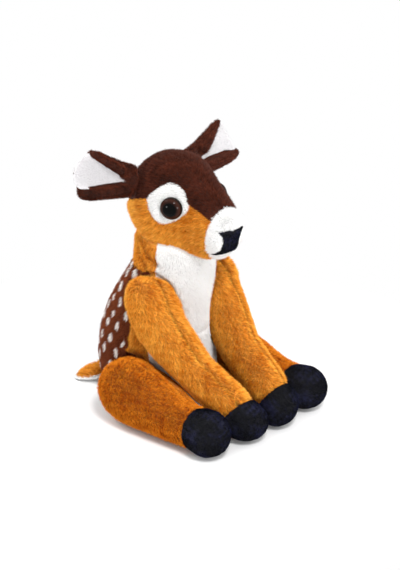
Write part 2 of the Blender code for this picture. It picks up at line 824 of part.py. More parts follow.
def ear_axes(side):
    """Unit vectors along, across and to the front of an ear."""
    along = Vector((side * EAR_ALONG.x, EAR_ALONG.y, EAR_ALONG.z)).normalized()
    across = Vector((side * EAR_ACROSS.x, EAR_ACROSS.y, EAR_ACROSS.z)).normalized()
    front = along.cross(across) * side
    return along, across, front


def ear_base(side):
    return on_head(side, EAR_APART_SHARE, EAR_ALONG_SHARE, EAR_RISE_SHARE)


def build_ear(carrier, side):
    """A cupped leaf with a round root, and the white lining on its front."""
    word = SIDES[side]
    along, across, front = ear_axes(side)
    base = ear_base(side)
    ways = spread(-1.0, 1.0, EAR_COLUMNS) + [1.0]

    def ear_point(share, wide, cup, way, rise):
        tip = 1 - EAR_TIP_ROUND_SHARE * way * way - EAR_TIP_SKEW_SHARE * way
        curl = cup * EAR_CUP * (way * way - EAR_CUP_MIDDLE_SHARE)
        return (
            base + along * share * tip * EAR_LENGTH + across * way * wide * EAR_HALF_WIDTH
            + front * (curl + rise)
        )

    stations = []
    for angle in EAR_ROOT_TURNS:
        share = -EAR_BASE_RADIUS * math.sin(angle) / EAR_LENGTH
        stations.append((share, EAR_BASE_WIDTH_SHARE, math.cos(angle), 0.0))
    stations += EAR_SHARES
    back = [[ear_point(share, wide, cup, way, -half * EAR_BASE_RADIUS) for way in ways]
            for share, wide, half, cup in stations]
    face = [[ear_point(share, wide, cup, way, half * EAR_BASE_RADIUS) for way in ways]
            for share, wide, half, cup in stations]
    add_piece("ear_back_" + word, slab(back, face), carrier, DARK_BROWN)

    under, upper = [], []
    for (share, wide, half, cup), narrow in zip(EAR_SHARES[EAR_BARE_STEPS:], EAR_LINING_SHARES):
        rise = half * EAR_BASE_RADIUS + SEAM_GAP
        under.append([ear_point(share, wide, cup, way * narrow, rise) for way in ways])
        upper.append([ear_point(share, wide, cup, way * narrow, rise + EAR_LINING) for way in ways])
    add_piece("ear_lining_" + word, slab(under, upper), carrier, WHITE)


def slab(lower, upper):
    """A closed solid between two grids of points."""
    built = bmesh.new()
    grids = [[[built.verts.new(point) for point in row] for row in grid] for grid in (lower, upper)]
    for grid in grids:
        for low, high in zip(grid, grid[1:]):
            bridge(built, low, high, closed=False)
    for row in (0, -1):
        bridge(built, grids[0][row], grids[1][row], closed=False)
    for column in (0, -1):
        bridge(built, [row[column] for row in grids[0]], [row[column] for row in grids[1]], closed=False)
    return built


def build_leg(carrier, side, prefix, form, rows):
    """Outer and inner panel, hoof cover and filling of a leg."""
    word = SIDES[side]
    half = LEG_COLUMNS // 2
    ankle = rows - 1
    outer, inner = ((half, LEG_COLUMNS), (0, half)) if side < 0 else ((0, half), (half, LEG_COLUMNS))
    pieces = [
        add_piece(prefix + "_outer_panel_" + word, form.panel(None, ankle, *outer), carrier, ORANGE),
        add_piece(prefix + "_inner_panel_" + word, form.panel(None, ankle, *inner), carrier, ORANGE),
        add_piece(prefix + "_filling_" + word, form.solid(COVER + FILLING_GAP), carrier, FIBRE),
    ]
    hoof = add_piece(prefix + "_hoof_" + word, form.panel(ankle, None), carrier, BLACK)
    carve(hoof, cutters["floor"])
    if prefix == "hind_leg":
        carve(pieces[0], cutters["floor"])
        carve(pieces[1], cutters["floor"])


def front_leg_form(side):
    hinge, hoof = shoulder(side), front_hoof(side)
    free = limb_form(
        hinge, hoof, FRONT_HOOF_RADIUS, FRONT_LEG_SHARES, FRONT_LEG_TOP_SHARES,
        FRONT_LEG_DEPTH, FRONT_LEG_WIDTH)
    rows = [[pressed(point, side) for point in row] for row in free.rows]
    return Form(rows, free.start, free.end)


def pressed(point, side):
    """A point of the front leg, moved out of the thigh that the leg leans on."""
    hinge, hoof = hip(side), hind_hoof(side)
    along = (point.y - hinge.y) / (hoof.y - hinge.y)
    if not 0 < along < HIND_LEG_SHARES[-1][0]:
        return point
    bow, deep, wide = blend(HIND_LEG_SHARES, along)
    middle = station(hinge, hoof, along, bow)
    across, up = point.x - middle.x, point.z - middle.z
    room = THIGH_WIDTH * wide + PRESS_GAP, THIGH_DEPTH * deep + PRESS_GAP
    inside = math.hypot(across / room[0], up / room[1])
    if inside >= 1:
        return point
    return Vector((middle.x + across / inside, point.y, middle.z + up / inside))


def hind_leg_form(side):
    return limb_form(
        hip(side), hind_hoof(side), HIND_HOOF_RADIUS, HIND_LEG_SHARES, HIND_LEG_TOP_SHARES,
        THIGH_DEPTH, THIGH_WIDTH)


def shoulder(side):
    return Vector((side * SHOULDER_APART, -SHOULDER_FORWARD, SHOULDER_HEIGHT))


def front_hoof(side):
    return Vector((side * FRONT_HOOF_APART, -FRONT_HOOF_FORWARD, FRONT_HOOF_RADIUS - FLAT_DEPTH))


def hip(side):
    return Vector((side * HIP_APART, -HIP_FORWARD, HIP_HEIGHT))


def hind_hoof(side):
    return Vector((side * HIND_HOOF_APART, -HIND_HOOF_FORWARD, HIND_HOOF_RADIUS - FLAT_DEPTH))


def tail_root():
    return Vector((0.0, TAIL_ROOT_BACK, TAIL_ROOT_HEIGHT))


def build_tail(carrier):
    """An orange upper leaf on a longer white lower leaf."""
    heading = Vector((
        -math.sin(TAIL_TURN) * math.cos(TAIL_DIP),
        math.cos(TAIL_TURN) * math.cos(TAIL_DIP),
        -math.sin(TAIL_DIP),
    ))
    across = heading.cross(Vector((0.0, 0.0, 1.0))).normalized()
    up = across.cross(heading)
    root = tail_root()
    for name, look, way, extra in (
        ("tail_top", ORANGE, 1, 0.0), ("tail_underside", WHITE, -1, TAIL_UNDERSIDE_EXTRA),
    ):
        length = TAIL_LENGTH + extra
        half_width = TAIL_HALF_WIDTH + extra * TAIL_EXTRA_WIDTH_SHARE
        rows = []
        for along, wide, thick in TAIL_SHARES:
            reach = along * (length if along > 0 else TAIL_LENGTH)
            middle = root + heading * reach + up * way * SEAM_GAP / 2
            row = []
            for angle in spread(0.0, math.pi, TAIL_COLUMNS) + [math.pi]:
                row.append(
                    middle + across * math.cos(angle) * wide * half_width
                    + up * way * math.sin(angle) * thick * TAIL_THICKNESS
                )
            rows.append(row)
        lift = up * way * (SEAM_GAP / 2 + TAIL_THICKNESS * TAIL_POLE_RISE_SHARE)
        start = root - heading * TAIL_LENGTH * TAIL_ROOT_SHARE + lift
        end = root + heading * length + lift
        add_piece(name, Form(rows, start, end).solid(0.0), carrier, look)


def make_cutters():
    """The solids that shape joints, seats and openings."""
    made = {}
    neck_ball = Vector((0.0, -NECK_BALL_FORWARD, NECK_BALL_HEIGHT))
    reach = NECK_BALL_RADIUS + CUT_OVERRUN
    block = add_cutter("above_neck_ball", box(
        Vector((-reach, -NECK_BALL_FORWARD - reach, NECK_BALL_HEIGHT)),
        Vector((reach, -NECK_BALL_FORWARD + reach, TORSO_HEIGHT + CUT_OVERRUN)),
    ))
    carve(block, add_cutter("neck_ball", ball(neck_ball, NECK_BALL_RADIUS)))
    made["above_neck_ball"] = block
    socket = ball(neck_ball, around_ball(NECK_BALL_RADIUS + JOINT_GAP))
    made["head_socket"] = add_cutter("head_socket", socket)
    bore_radius = (NECK_PLUG_RADIUS + JOINT_GAP) / math.cos(math.pi / BALL_SEGMENTS)
    bore_floor = NECK_BALL_HEIGHT - NECK_PLUG_DEPTH - JOINT_GAP
    bore = turned(((bore_radius, bore_floor), (bore_radius, TORSO_HEIGHT + CUT_OVERRUN)), BALL_SEGMENTS)
    bmesh.ops.translate(bore, verts=bore.verts, vec=(0.0, -NECK_BALL_FORWARD, 0.0))
    made["neck_bore"] = add_cutter("neck_bore", bore)
    reach = TORSO_HEIGHT + CUT_OVERRUN
    low = Vector((-reach, -reach, -reach))
    made["floor"] = add_cutter("floor", box(low, Vector((reach, reach, 0.0))))
    made["seat_room"] = add_cutter("seat_room", box(low, Vector((reach, reach, COVER + FILLING_GAP))))
    tail_radius = around_ball(TAIL_ROOT_RADIUS + JOINT_GAP, TAIL_BALL_SEGMENTS)
    made["tail_pocket"] = add_cutter("tail_pocket", ball(tail_root(), tail_radius, TAIL_BALL_SEGMENTS))

    nose_frame = Matrix.Rotation(math.radians(90.0), 4, "X")
    nose_frame.translation = Vector((0.0, HEAD_BACK - HEAD_LENGTH, head_height() - NOSE_BELOW_HEAD))
    half = [(across * NOSE_HALF_WIDTH, up * NOSE_HALF_HEIGHT) for across, up in NOSE_SHARES]
    outline = half + [(-across, up) for across, up in reversed(half[1:-1])]
    made["nose_shape"] = add_cutter("nose_shape", prism(outline, nose_frame, NOSE_HALF_WIDTH))
    room = prism(widened(outline, SEAM_GAP), nose_frame, NOSE_HALF_WIDTH)
    made["nose_room"] = add_cutter("nose_room", room)

    for side, word in SIDES.items():
        frame = eye_frame(side)
        corners = [(across * EYE_PATCH_LENGTH, up * EYE_PATCH_HEIGHT) for across, up in EYE_PATCH_SHARES]
        patch = [(across, -side * up) for across, up in smooth_loop(corners, PATCH_STEPS)]
        depth = HEAD_HALF_WIDTH / 2
        shape, room = prism(patch, frame, depth), prism(widened(patch, SEAM_GAP), frame, depth)
        made["patch_shape_" + word] = add_cutter("patch_shape_" + word, shape)
        made["patch_room_" + word] = add_cutter("patch_room_" + word, room)
        clear = 1 / math.cos(math.pi / ROUND_SEGMENTS)
        bore_radius = SHANK_RADIUS + SHANK_RIB_RISE + SEAM_GAP
        tools = (
            ("eye_seat_", EYE_RADIUS + JOINT_GAP, -SEAM_GAP, HEAD_HALF_WIDTH),
            ("shank_bore_", bore_radius, -shank_end() - JOINT_GAP, HEAD_HALF_WIDTH),
        )
        for name, radius, low, high in tools:
            tool = turned(((radius * clear, low), (radius * clear, high)), ROUND_SEGMENTS)
            bmesh.ops.transform(tool, matrix=frame, verts=tool.verts)
            made[name + word] = add_cutter(name + word, tool)
        narrow, wide = (WASHER_RADIUS + JOINT_GAP) * clear, (EYE_RADIUS + JOINT_GAP) * clear
        tool = turned((
            (narrow, -shank_end() - JOINT_GAP), (narrow, -JOINT_GAP),
            (wide, -JOINT_GAP), (wide, HEAD_HALF_WIDTH),
        ), ROUND_SEGMENTS)
        bmesh.ops.transform(tool, matrix=frame, verts=tool.verts)
        made["eye_pocket_" + word] = add_cutter("eye_pocket_" + word, tool)

        along, across, front = ear_axes(side)
        ear_frame = Matrix((front, along, across)).transposed().to_4x4()
        ear_frame.translation = ear_base(side)
        radius = (EAR_BASE_RADIUS + JOINT_GAP) * clear
        length = EAR_HALF_WIDTH * EAR_BASE_WIDTH_SHARE + JOINT_GAP
        tool = turned(((radius, -length), (radius, length)), ROUND_SEGMENTS)
        bmesh.ops.transform(tool, matrix=ear_frame, verts=tool.verts)
        made["ear_pocket_" + word] = add_cutter("ear_pocket_" + word, tool)

        limbs = (
            ("front_leg", front_leg_form(side), shoulder(side), SHOULDER_RADIUS),
            ("hind_leg", hind_leg_form(side), hip(side), HIP_RADIUS),
        )
        for limb, form, hinge, radius in limbs:
            made[limb + "_room_" + word] = add_cutter(limb + "_room_" + word, form.solid(-JOINT_GAP))
            socket = ball(hinge, around_ball(radius + JOINT_GAP))
            made[limb + "_socket_" + word] = add_cutter(limb + "_socket_" + word, socket)
        hinge = Matrix.Translation(shoulder(side))
        for step, lift in enumerate(LIFT_TURNS):
            room = front_leg_form(side).solid(-JOINT_GAP)
            lifted = hinge @ Matrix.Rotation(-lift, 4, "X") @ hinge.inverted()
            bmesh.ops.transform(room, matrix=lifted, verts=room.verts)
            name = "front_leg_lift_" + word + str(step)
            made[name] = add_cutter(name, room)
    return made


def widened(outline, gap):
    """An outline moved outwards by a gap."""
    count = len(outline)
    middle = Vector((sum(point[0] for point in outline), sum(point[1] for point in outline))) / count
    moved = []
    for index in range(count):
        before, here, after = (Vector(outline[(index + shift) % count]) for shift in (-1, 0, 1))
        edge = after - before
        out = Vector((edge.y, -edge.x)).normalized()
        if out.dot(here - middle) < 0:
            out = -out
        moved.append(tuple(here + out * gap))
    return moved


WHITE = named_material("white_plush", (0.86, 0.85, 0.83), 0.95)
ORANGE = named_material("orange_plush", (0.56, 0.24, 0.045), 0.95)
RED_BROWN = named_material("red_brown_plush", (0.22, 0.07, 0.035), 0.95)
DARK_BROWN = named_material("dark_brown_plush", (0.10, 0.035, 0.02), 0.95)
BLACK = named_material("black_velvet", (0.008, 0.009, 0.014), 0.9)
FIBRE = named_material("white_fibre", (0.80, 0.80, 0.78), 1.0)
EYE_BROWN = named_material("eye_plastic", (0.05, 0.02, 0.012), 0.05)
WASHER_WHITE = named_material("washer_plastic", (0.80, 0.80, 0.78), 0.4)
SIDES = {-1: "right", 1: "left"}

cutters = make_cutters()
torso = pivot("torso", Vector())
neck = pivot("neck", Vector((0.0, -NECK_BALL_FORWARD, NECK_BALL_HEIGHT)), torso)
head = pivot("head", Vector((0.0, -NECK_BALL_FORWARD, NECK_BALL_HEIGHT)), neck)
build_torso(torso)
build_neck(neck)
build_head(head)
for side, word in SIDES.items():
    build_ear(pivot("ear_" + word, ear_base(side), head), side)
    build_leg(
        pivot("front_leg_" + word, shoulder(side), torso), side, "front_leg", front_leg_form(side),
        len(FRONT_LEG_SHARES))
    build_leg(
        pivot("hind_leg_" + word, hip(side), torso), side, "hind_leg", hind_leg_form(side),
        len(HIND_LEG_SHARES))
build_tail(pivot("tail", tail_root(), torso))
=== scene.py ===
"""A seated plush deer: stuffed cloth forms, brushed pile, glossy safety eyes."""
import json
import math

import bmesh
import bpy
import numpy as np
from mathutils import Matrix, Vector
from mathutils.bvhtree import BVHTree
from mathutils.kdtree import KDTree

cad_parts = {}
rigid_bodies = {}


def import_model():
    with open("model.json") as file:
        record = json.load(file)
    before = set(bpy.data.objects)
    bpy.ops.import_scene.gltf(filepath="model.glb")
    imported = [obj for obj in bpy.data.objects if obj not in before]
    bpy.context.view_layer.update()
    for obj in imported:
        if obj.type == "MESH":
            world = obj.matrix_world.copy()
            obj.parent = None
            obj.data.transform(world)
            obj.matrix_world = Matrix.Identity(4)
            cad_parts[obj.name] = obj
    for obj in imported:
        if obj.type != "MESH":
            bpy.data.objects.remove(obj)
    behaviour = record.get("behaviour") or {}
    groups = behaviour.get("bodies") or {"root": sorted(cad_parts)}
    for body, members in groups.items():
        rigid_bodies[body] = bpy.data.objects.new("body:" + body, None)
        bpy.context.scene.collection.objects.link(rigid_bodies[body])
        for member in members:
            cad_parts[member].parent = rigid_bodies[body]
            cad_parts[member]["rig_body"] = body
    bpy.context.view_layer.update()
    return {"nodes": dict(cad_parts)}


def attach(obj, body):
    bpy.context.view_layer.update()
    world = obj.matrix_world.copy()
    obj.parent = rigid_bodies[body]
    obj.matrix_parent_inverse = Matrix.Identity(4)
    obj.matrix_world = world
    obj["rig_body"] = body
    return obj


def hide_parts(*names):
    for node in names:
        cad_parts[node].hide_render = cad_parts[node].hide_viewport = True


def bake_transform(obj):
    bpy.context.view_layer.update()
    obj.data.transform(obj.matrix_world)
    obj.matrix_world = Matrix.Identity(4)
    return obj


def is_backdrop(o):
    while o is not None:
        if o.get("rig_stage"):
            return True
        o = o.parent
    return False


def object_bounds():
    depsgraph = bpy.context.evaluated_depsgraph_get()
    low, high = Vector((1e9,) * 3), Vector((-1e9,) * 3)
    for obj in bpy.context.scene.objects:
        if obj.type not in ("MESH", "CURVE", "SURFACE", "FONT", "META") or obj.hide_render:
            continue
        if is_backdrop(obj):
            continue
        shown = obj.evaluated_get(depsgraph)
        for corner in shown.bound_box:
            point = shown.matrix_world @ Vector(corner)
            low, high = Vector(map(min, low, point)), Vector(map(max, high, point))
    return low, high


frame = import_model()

# Torso
# A pear-shaped bag of short-pile plush, sewn from a white chest and belly, orange sides, gussets
# and neck bands and a spotted red-brown back. It is turned, stuffed with loose fibre and closed.
SIDES = ((-1, "right"), (1, "left"))
UPRIGHT, FORWARD = (0.0, 0.0, 1.0), (0.0, -1.0, 0.0)

CLOTH_GRID = 0.0042  # net of the cloth simulation
CLOTH_FRAMES = 14
PANEL_REACH = 0.03  # how far away a point looks for its panels
BODY_REACH = 0.02  # how far away it looks for other bodies
PRESSED_DEPTH = 0.0004  # depth of the cloth where another body leaves no room for its pile
SEAM_WIDTH = 0.0022
SEWN_GAP = 0.0012  # pile height kept free beside a form that this one is sewn to
BARE_GAP = 0.0011  # nearer than this to another body nothing grows
BARE_UNDER = 0.9  # nor where the cloth faces the floor this much
CLOTH_OFF_FLOOR, PILE_OFF_FLOOR = 0.0002, 0.0001
LAYERED = 0.0002  # share of their height that keeps fibres pressed on the floor in layers
CLOTH_DEPTH = 0.0025  # of the torso's and the legs' cloth under the surface of the pile

# Where each of these starts and where it is complete, by the gap to another body or to a seam.
ROOM_FOR_PILE = (0.0008, 0.0035)
FREE_OF_BODY, FREE_OF_SEAM = (0.0015, 0.0040), (0.0010, 0.0040)
NAP_BY_BODY, NAP_BY_SEAM = (0.0010, 0.0070), (0.0002, 0.0030)
FACING_DOWN, OFF_FLOOR = (0.2, 0.8), (0.002, 0.010)
NAP_PRESSED, NAP_IN_SEAM, NAP_UNDER = 0.35, 0.5, 0.25  # share of the pile's length left there


def in_scene(name, data):
    """A new object in the scene."""
    thing = bpy.data.objects.new(name, data)
    bpy.context.scene.collection.objects.link(thing)
    return thing


def result_of(thing):
    """An object's mesh with its modifiers worked in."""
    view = bpy.context.evaluated_depsgraph_get()
    return bpy.data.meshes.new_from_object(thing.evaluated_get(view))


def rows_of(data, field, width=3):
    """One field of a mesh's points or of an attribute, a row for each."""
    values = np.empty(len(data) * width, np.float32)
    data.foreach_get(field, values)
    return values.reshape(-1, width).astype(float)


def joined(nodes):
    """Some CAD pieces in one bmesh, each with its own corners merged."""
    whole = bmesh.new()
    for node in nodes:
        part = bmesh.new()
        part.from_mesh(frame["nodes"][node].data)
        bmesh.ops.remove_doubles(part, verts=part.verts, dist=1e-6)
        mesh = bpy.data.meshes.new("part")
        part.to_mesh(mesh)
        part.free()
        whole.from_mesh(mesh)
        bpy.data.meshes.remove(mesh)
    return whole


def tree_of(nodes):
    """One search tree over some CAD pieces."""
    whole = joined(nodes)
    tree = BVHTree.FromBMesh(whole)
    whole.free()
    return tree


def as_skin(mesh):
    """A mesh's points, quads and edges as arrays; a triangle has its last corner twice."""
    quads = np.array([(*face.vertices, face.vertices[2])[:4] for face in mesh.polygons])
    edges = np.empty(len(mesh.edges) * 2, np.int32)
    mesh.edges.foreach_get("vertices", edges)
    return rows_of(mesh.vertices, "co"), quads, edges.reshape(-1, 2)


def largest(points, quads, edges):
    """Keep the outer skin and drop bubbles inside it."""
    label = np.arange(len(points))
    while True:
        before = label.copy()
        low = np.minimum(label[edges[:, 0]], label[edges[:, 1]])
        np.minimum.at(label, edges[:, 0], low)
        np.minimum.at(label, edges[:, 1], low)
        label = label[label]
        if (label == before).all():
            break
    keep = label == np.bincount(label).argmax()
    new = np.cumsum(keep) - 1
    return points[keep], new[quads[keep[quads[:, 0]]]], new[edges[keep[edges[:, 0]]]]


def remeshed(mesh, grid):
    """An even skin of small quads around everything in a mesh."""
    holder = in_scene("holder", mesh)
    modifier = holder.modifiers.new("even", "REMESH")
    modifier.mode = "VOXEL"
    modifier.voxel_size = grid
    even = result_of(holder)
    bpy.data.objects.remove(holder)
    skin = largest(*as_skin(even))
    bpy.data.meshes.remove(even)
    return skin


def spread_over(values, edges, rounds):
    """Smooth values over a skin."""
    count = len(values)
    flat = values.reshape(count, -1)
    degree = np.bincount(edges.ravel(), minlength=count)[:, None]
    for _ in range(rounds):
        total = np.empty_like(flat)
        for column in range(flat.shape[1]):
            total[:, column] = (
                np.bincount(edges[:, 0], flat[edges[:, 1], column], count)
                + np.bincount(edges[:, 1], flat[edges[:, 0], column], count))
        flat = (flat + total / degree) / 2
    return flat.reshape(values.shape)


def outward(points, quads):
    """Unit normals at a skin's points."""
    corner = points[quads]
    face = np.cross(corner[:, 2] - corner[:, 0], corner[:, 3] - corner[:, 1])
    normal = np.zeros_like(points)
    for column in range(3):
        for index in range(4):
            normal[:, column] += np.bincount(quads[:, index], face[:, column], len(points))
    return normal / np.maximum(np.linalg.norm(normal, axis=1, keepdims=True), 1e-12)


def pressed_in(points, quads, depth):
    """A skin's points moved in by a depth of their own."""
    return points - outward(points, quads) * depth[:, None]


def mesh_of(name, points, quads):
    """A mesh from a skin's arrays."""
    mesh = bpy.data.meshes.new(name)
    faces = [face if face[2] != face[3] else face[:3] for face in quads.tolist()]
    mesh.from_pydata(points.tolist(), [], faces)
    mesh.shade_smooth()
    return mesh


def smoothstep(value, low, high):
    """A soft rise from 0 at one value to 1 at another."""
    share = np.clip((value - low) / (high - low), 0.0, 1.0)
    return share * share * (3 - 2 * share)


def distances(tree, points, reach):
    """How far each point is from a search tree's surface, up to a reach."""
    found = [tree.find_nearest(point, reach)[3] for point in points]
    return np.array([reach if away is None else away for away in found])


def search_over(points):
    """A search tree over some points."""
    tree = KDTree(len(points))
    for index, point in enumerate(points):
        tree.insert(point, index)
    tree.balance()
    return tree


def swollen(points, quads, edges, held, cap):
    """A short cloth simulation: pressure swells the cover between its seams, up to a cap."""
    coarse, coarse_quads, _ = remeshed(mesh_of("slack", points, quads), CLOTH_GRID)
    near = search_over(points)
    slack = in_scene("slack", mesh_of("slack", coarse, coarse_quads))
    group = slack.vertex_groups.new(name="held")
    for index, point in enumerate(coarse):
        group.add([index], float(held[near.find(point)[1]]), "REPLACE")
    cloth = slack.modifiers.new("pressure", "CLOTH")
    cloth.settings.quality = 4
    cloth.settings.mass = 0.15
    cloth.settings.use_pressure = True
    cloth.settings.uniform_pressure_force = 4.0
    cloth.settings.vertex_group_mass = "held"
    cloth.settings.effector_weights.gravity = 0.0
    cloth.point_cache.frame_start, cloth.point_cache.frame_end = 1, CLOTH_FRAMES
    for number in range(1, CLOTH_FRAMES + 1):
        bpy.context.scene.frame_set(number)
    result = result_of(slack)
    shift = rows_of(result.vertices, "co") - coarse
    length = np.linalg.norm(shift, axis=1, keepdims=True)
    shift *= np.minimum(1.0, cap / np.maximum(length, 1e-9))
    bpy.data.objects.remove(slack)
    bpy.data.meshes.remove(result)
    bpy.context.scene.frame_set(1)
    around = search_over(coarse)
    moved = np.zeros_like(points)
    for index, point in enumerate(points):
        hits = around.find_n(point, 4)
        weight = np.array([1 / (hit[2] + 1e-4) for hit in hits])
        moved[index] = weight @ shift[[hit[1] for hit in hits]] / weight.sum()
    return points + spread_over(moved, edges, 3) * (1 - held)[:, None]


def on_side(side, places):
    """Places or directions given for the left side, put on the side asked for."""
    return [(side * x, y, z) for x, y, z in places]


def egg_on(side, centre, sizes, upright=UPRIGHT, forward=FORWARD):
    """An egg of stuffing given for the left side, put on the side asked for."""
    centre, upright, forward = on_side(side, (centre, upright, forward))
    return centre, sizes, upright, forward


def add_egg(whole, centre, sizes, upright, forward):
    """Add an egg of stuffing to a form before its skin is made."""
    up = Vector(upright).normalized()
    side = up.cross(Vector(forward)).normalized()
    turn = Matrix((side, up.cross(side), up)).transposed().to_4x4()
    place = Matrix.Translation(centre) @ turn @ Matrix.Diagonal((*sizes, 1.0))
    bmesh.ops.create_icosphere(whole, subdivisions=4, radius=1.0, matrix=place)


def from_stretches(points, first, along):
    """Distance of every point from every straight stretch of a line."""
    from_first = points[:, None] - first
    share = np.clip((from_first * along).sum(axis=2) / (along * along).sum(axis=1), 0, 1)
    return np.linalg.norm(from_first - share[..., None] * along, axis=2)


def near_line(points, line):
    """Distance of points from a line through given places."""
    return from_stretches(points, np.array(line[:-1]), np.diff(line, axis=0)).min(axis=1)


def brushed(direction, parting=0.0):
    """Pile that is brushed one way all over, and apart from the middle where it has a parting."""
    def lie(points):
        return np.array(tuple(direction)) + points * np.array([parting, 0.0, 0.0])
    return lie


def sewn_to(other, clear, points, normal):
    """The gaps beside a form, nothing for the points that lie inside the form it is sewn to."""
    wall = BVHTree.FromPolygons(other["points"].tolist(), other["quads"].tolist())
    for index, point in enumerate(points):
        away = wall.find_nearest(point, BODY_REACH)[3]
        if away is not None:
            hit, facing = wall.ray_cast(point, normal[index])[:2]
            within = hit is not None and facing.dot(Vector(normal[index])) > 0
            clear[index] = min(clear[index], 0.0 if within else away + SEWN_GAP)
    return clear


def stuffed(body, panels, depths, flow, grid, cap, seam_depth=0.0009, relax=3, eggs=(),
            against=None, parted=None, creases=(), bend=None):
    """A body's stuffed cloth form: its skin follows the CAD pieces and any eggs of stuffing, lies
    one pile height under their surface, swells between its seams by up to the cap and is drawn in
    along them and along its creases. A parted form has its own borders between the panels. No pile
    grows where it is sewn into the form it lies against, and a bend it is given is passed on.
    Returns what the pile needs."""
    owner = {node: thing["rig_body"] for node, thing in frame["nodes"].items()}
    own = [node for node in owner
           if node in panels or owner[node] == body and not node.startswith("eye_")]
    others = [node for node in owner if owner[node] not in (body, against and against["body"])]
    whole = joined(own)
    for egg in eggs:
        add_egg(whole, *egg)
    mesh = bpy.data.meshes.new("whole")
    whole.to_mesh(mesh)
    whole.free()
    points, quads, edges = remeshed(mesh, grid)
    points = spread_over(points, edges, relax)
    clear = distances(tree_of(others), points, BODY_REACH)
    gaps = np.stack([distances(tree_of([panel]), points, PANEL_REACH) for panel in panels])
    if parted:
        gaps = parted(points, outward(points, quads), gaps)
    nearest = gaps.argmin(axis=0)
    order = np.sort(gaps, axis=0)
    seam = order[1] - order[0]

    room = smoothstep(clear, *ROOM_FOR_PILE)
    depth = np.array([depths[panel] for panel in panels])[nearest]
    depth = spread_over(depth * room + PRESSED_DEPTH * (1 - room), edges, 4)
    points = pressed_in(points, quads, depth)
    points = points + (spread_over(points, edges, 2) - points) * 0.5
    touching = 1 - smoothstep(clear, *FREE_OF_BODY)
    held = np.clip(touching + (1 - smoothstep(seam, *FREE_OF_SEAM)), 0, 1)
    if cap:
        points = swollen(points, quads, edges, held, cap)
    groove = np.exp(-(seam / SEAM_WIDTH) ** 2) * (1 - touching) * seam_depth
    points = pressed_in(points, quads, groove)
    for line, crease_depth, crease_width in creases:
        drawn = np.exp(-(near_line(points, line) / crease_width) ** 2) * crease_depth
        points = pressed_in(points, quads, drawn)
    if against:
        clear = sewn_to(against, clear, points, outward(points, quads))
    points[:, 2] = np.maximum(points[:, 2], CLOTH_OFF_FLOOR)

    normal = outward(points, quads)
    lie = flow(points)
    lie = lie - normal * (lie * normal).sum(axis=1, keepdims=True)
    lie /= np.maximum(np.linalg.norm(lie, axis=1, keepdims=True), 1e-9)
    under = smoothstep(-normal[:, 2], *FACING_DOWN) * (1 - smoothstep(points[:, 2], *OFF_FLOOR))
    nap = NAP_PRESSED + (1 - NAP_PRESSED) * smoothstep(clear, *NAP_BY_BODY)
    nap *= NAP_IN_SEAM + (1 - NAP_IN_SEAM) * smoothstep(seam, *NAP_BY_SEAM)
    nap *= 1 - (1 - NAP_UNDER) * under
    return {
        "body": body, "panels": panels, "points": points, "quads": quads, "nearest": nearest,
        "lie": lie, "nap": nap, "bare": (clear < BARE_GAP) | (under > BARE_UNDER),
        "border": gaps[1] - gaps[0] if len(panels) == 2 else None, "bend": bend,
    }


def keep_attribute(mesh, name, kind, values):
    """Store an array on a mesh's points."""
    attribute = mesh.attributes.new(name, kind, "POINT")
    field = {"FLOAT": "value", "FLOAT_VECTOR": "vector", "FLOAT_COLOR": "color"}[kind]
    attribute.data.foreach_set(field, np.ascontiguousarray(values, np.float32).ravel())


def keep_dye(mesh, colour):
    """Store the dye of a mesh's points, which its materials read."""
    keep_attribute(mesh, "dye", "FLOAT_COLOR", np.column_stack([colour, np.ones(len(colour))]))


def placed(tree, kind, inputs=(), **settings):
    """The outputs of a new node with these settings, whose inputs get plain values or other nodes'
    outputs."""
    node = tree.nodes.new(kind)
    for name, value in settings.items():
        setattr(node, name, value)
    for name, value in dict(inputs).items():
        if isinstance(value, bpy.types.NodeSocket):
            tree.links.new(value, node.inputs[name])
        else:
            node.inputs[name].default_value = value
    return node.outputs


def calculated(tree, operation, *values):
    """The result of a Math node."""
    return placed(tree, "ShaderNodeMath", enumerate(values), operation=operation)[0]


def combined(tree, operation, first, second):
    """The result of a Vector Math node; SCALE multiplies the first value by a number."""
    inputs = {0: first, "Scale" if operation == "SCALE" else 1: second}
    return placed(tree, "ShaderNodeVectorMath", inputs, operation=operation)["Vector"]


def read_value(tree, name):
    """An attribute of the surface."""
    return placed(tree, "ShaderNodeAttribute", attribute_name=name)


def new_group(name, kind, inputs, outputs):
    """A new node group with named inputs and outputs of these kinds, and what it is given."""
    group = bpy.data.node_groups.new(name, kind)
    for in_out, sockets in (("INPUT", inputs), ("OUTPUT", outputs)):
        for socket, value in sockets.items():
            group.interface.new_socket(socket, in_out=in_out, socket_type="NodeSocket" + value)
    return group, group.nodes.new("NodeGroupInput").outputs


# Painted light and shade along each fibre: the tip is painted lighter than its dye by this much.
TIP_LIGHT = 1.08  # how much lighter than its dye a fibre's tip is


def pile_shade_group():
    """Colour of a pile fibre from its dye, with painted shade darkening the root and painted light
    on the tip, and no two fibres quite alike."""
    group, given = new_group("pile_shade", "ShaderNodeTree", {
        "Root": "Float", "Variation": "Float"}, {"Color": "Color"})
    depth = placed(group, "ShaderNodeMapRange", {
        "Value": read_value(group, "tip")["Fac"], "To Min": given["Root"], "To Max": TIP_LIGHT})
    centred = calculated(group, "SUBTRACT", read_value(group, "tint")["Fac"], 0.5)
    spread = calculated(group, "MULTIPLY_ADD", centred, given["Variation"], 1.0)
    shade = calculated(group, "MULTIPLY", depth["Result"], spread)
    shaded = combined(group, "SCALE", read_value(group, "dye")["Color"], shade)
    placed(group, "NodeGroupOutput", {"Color": shaded})
    return group


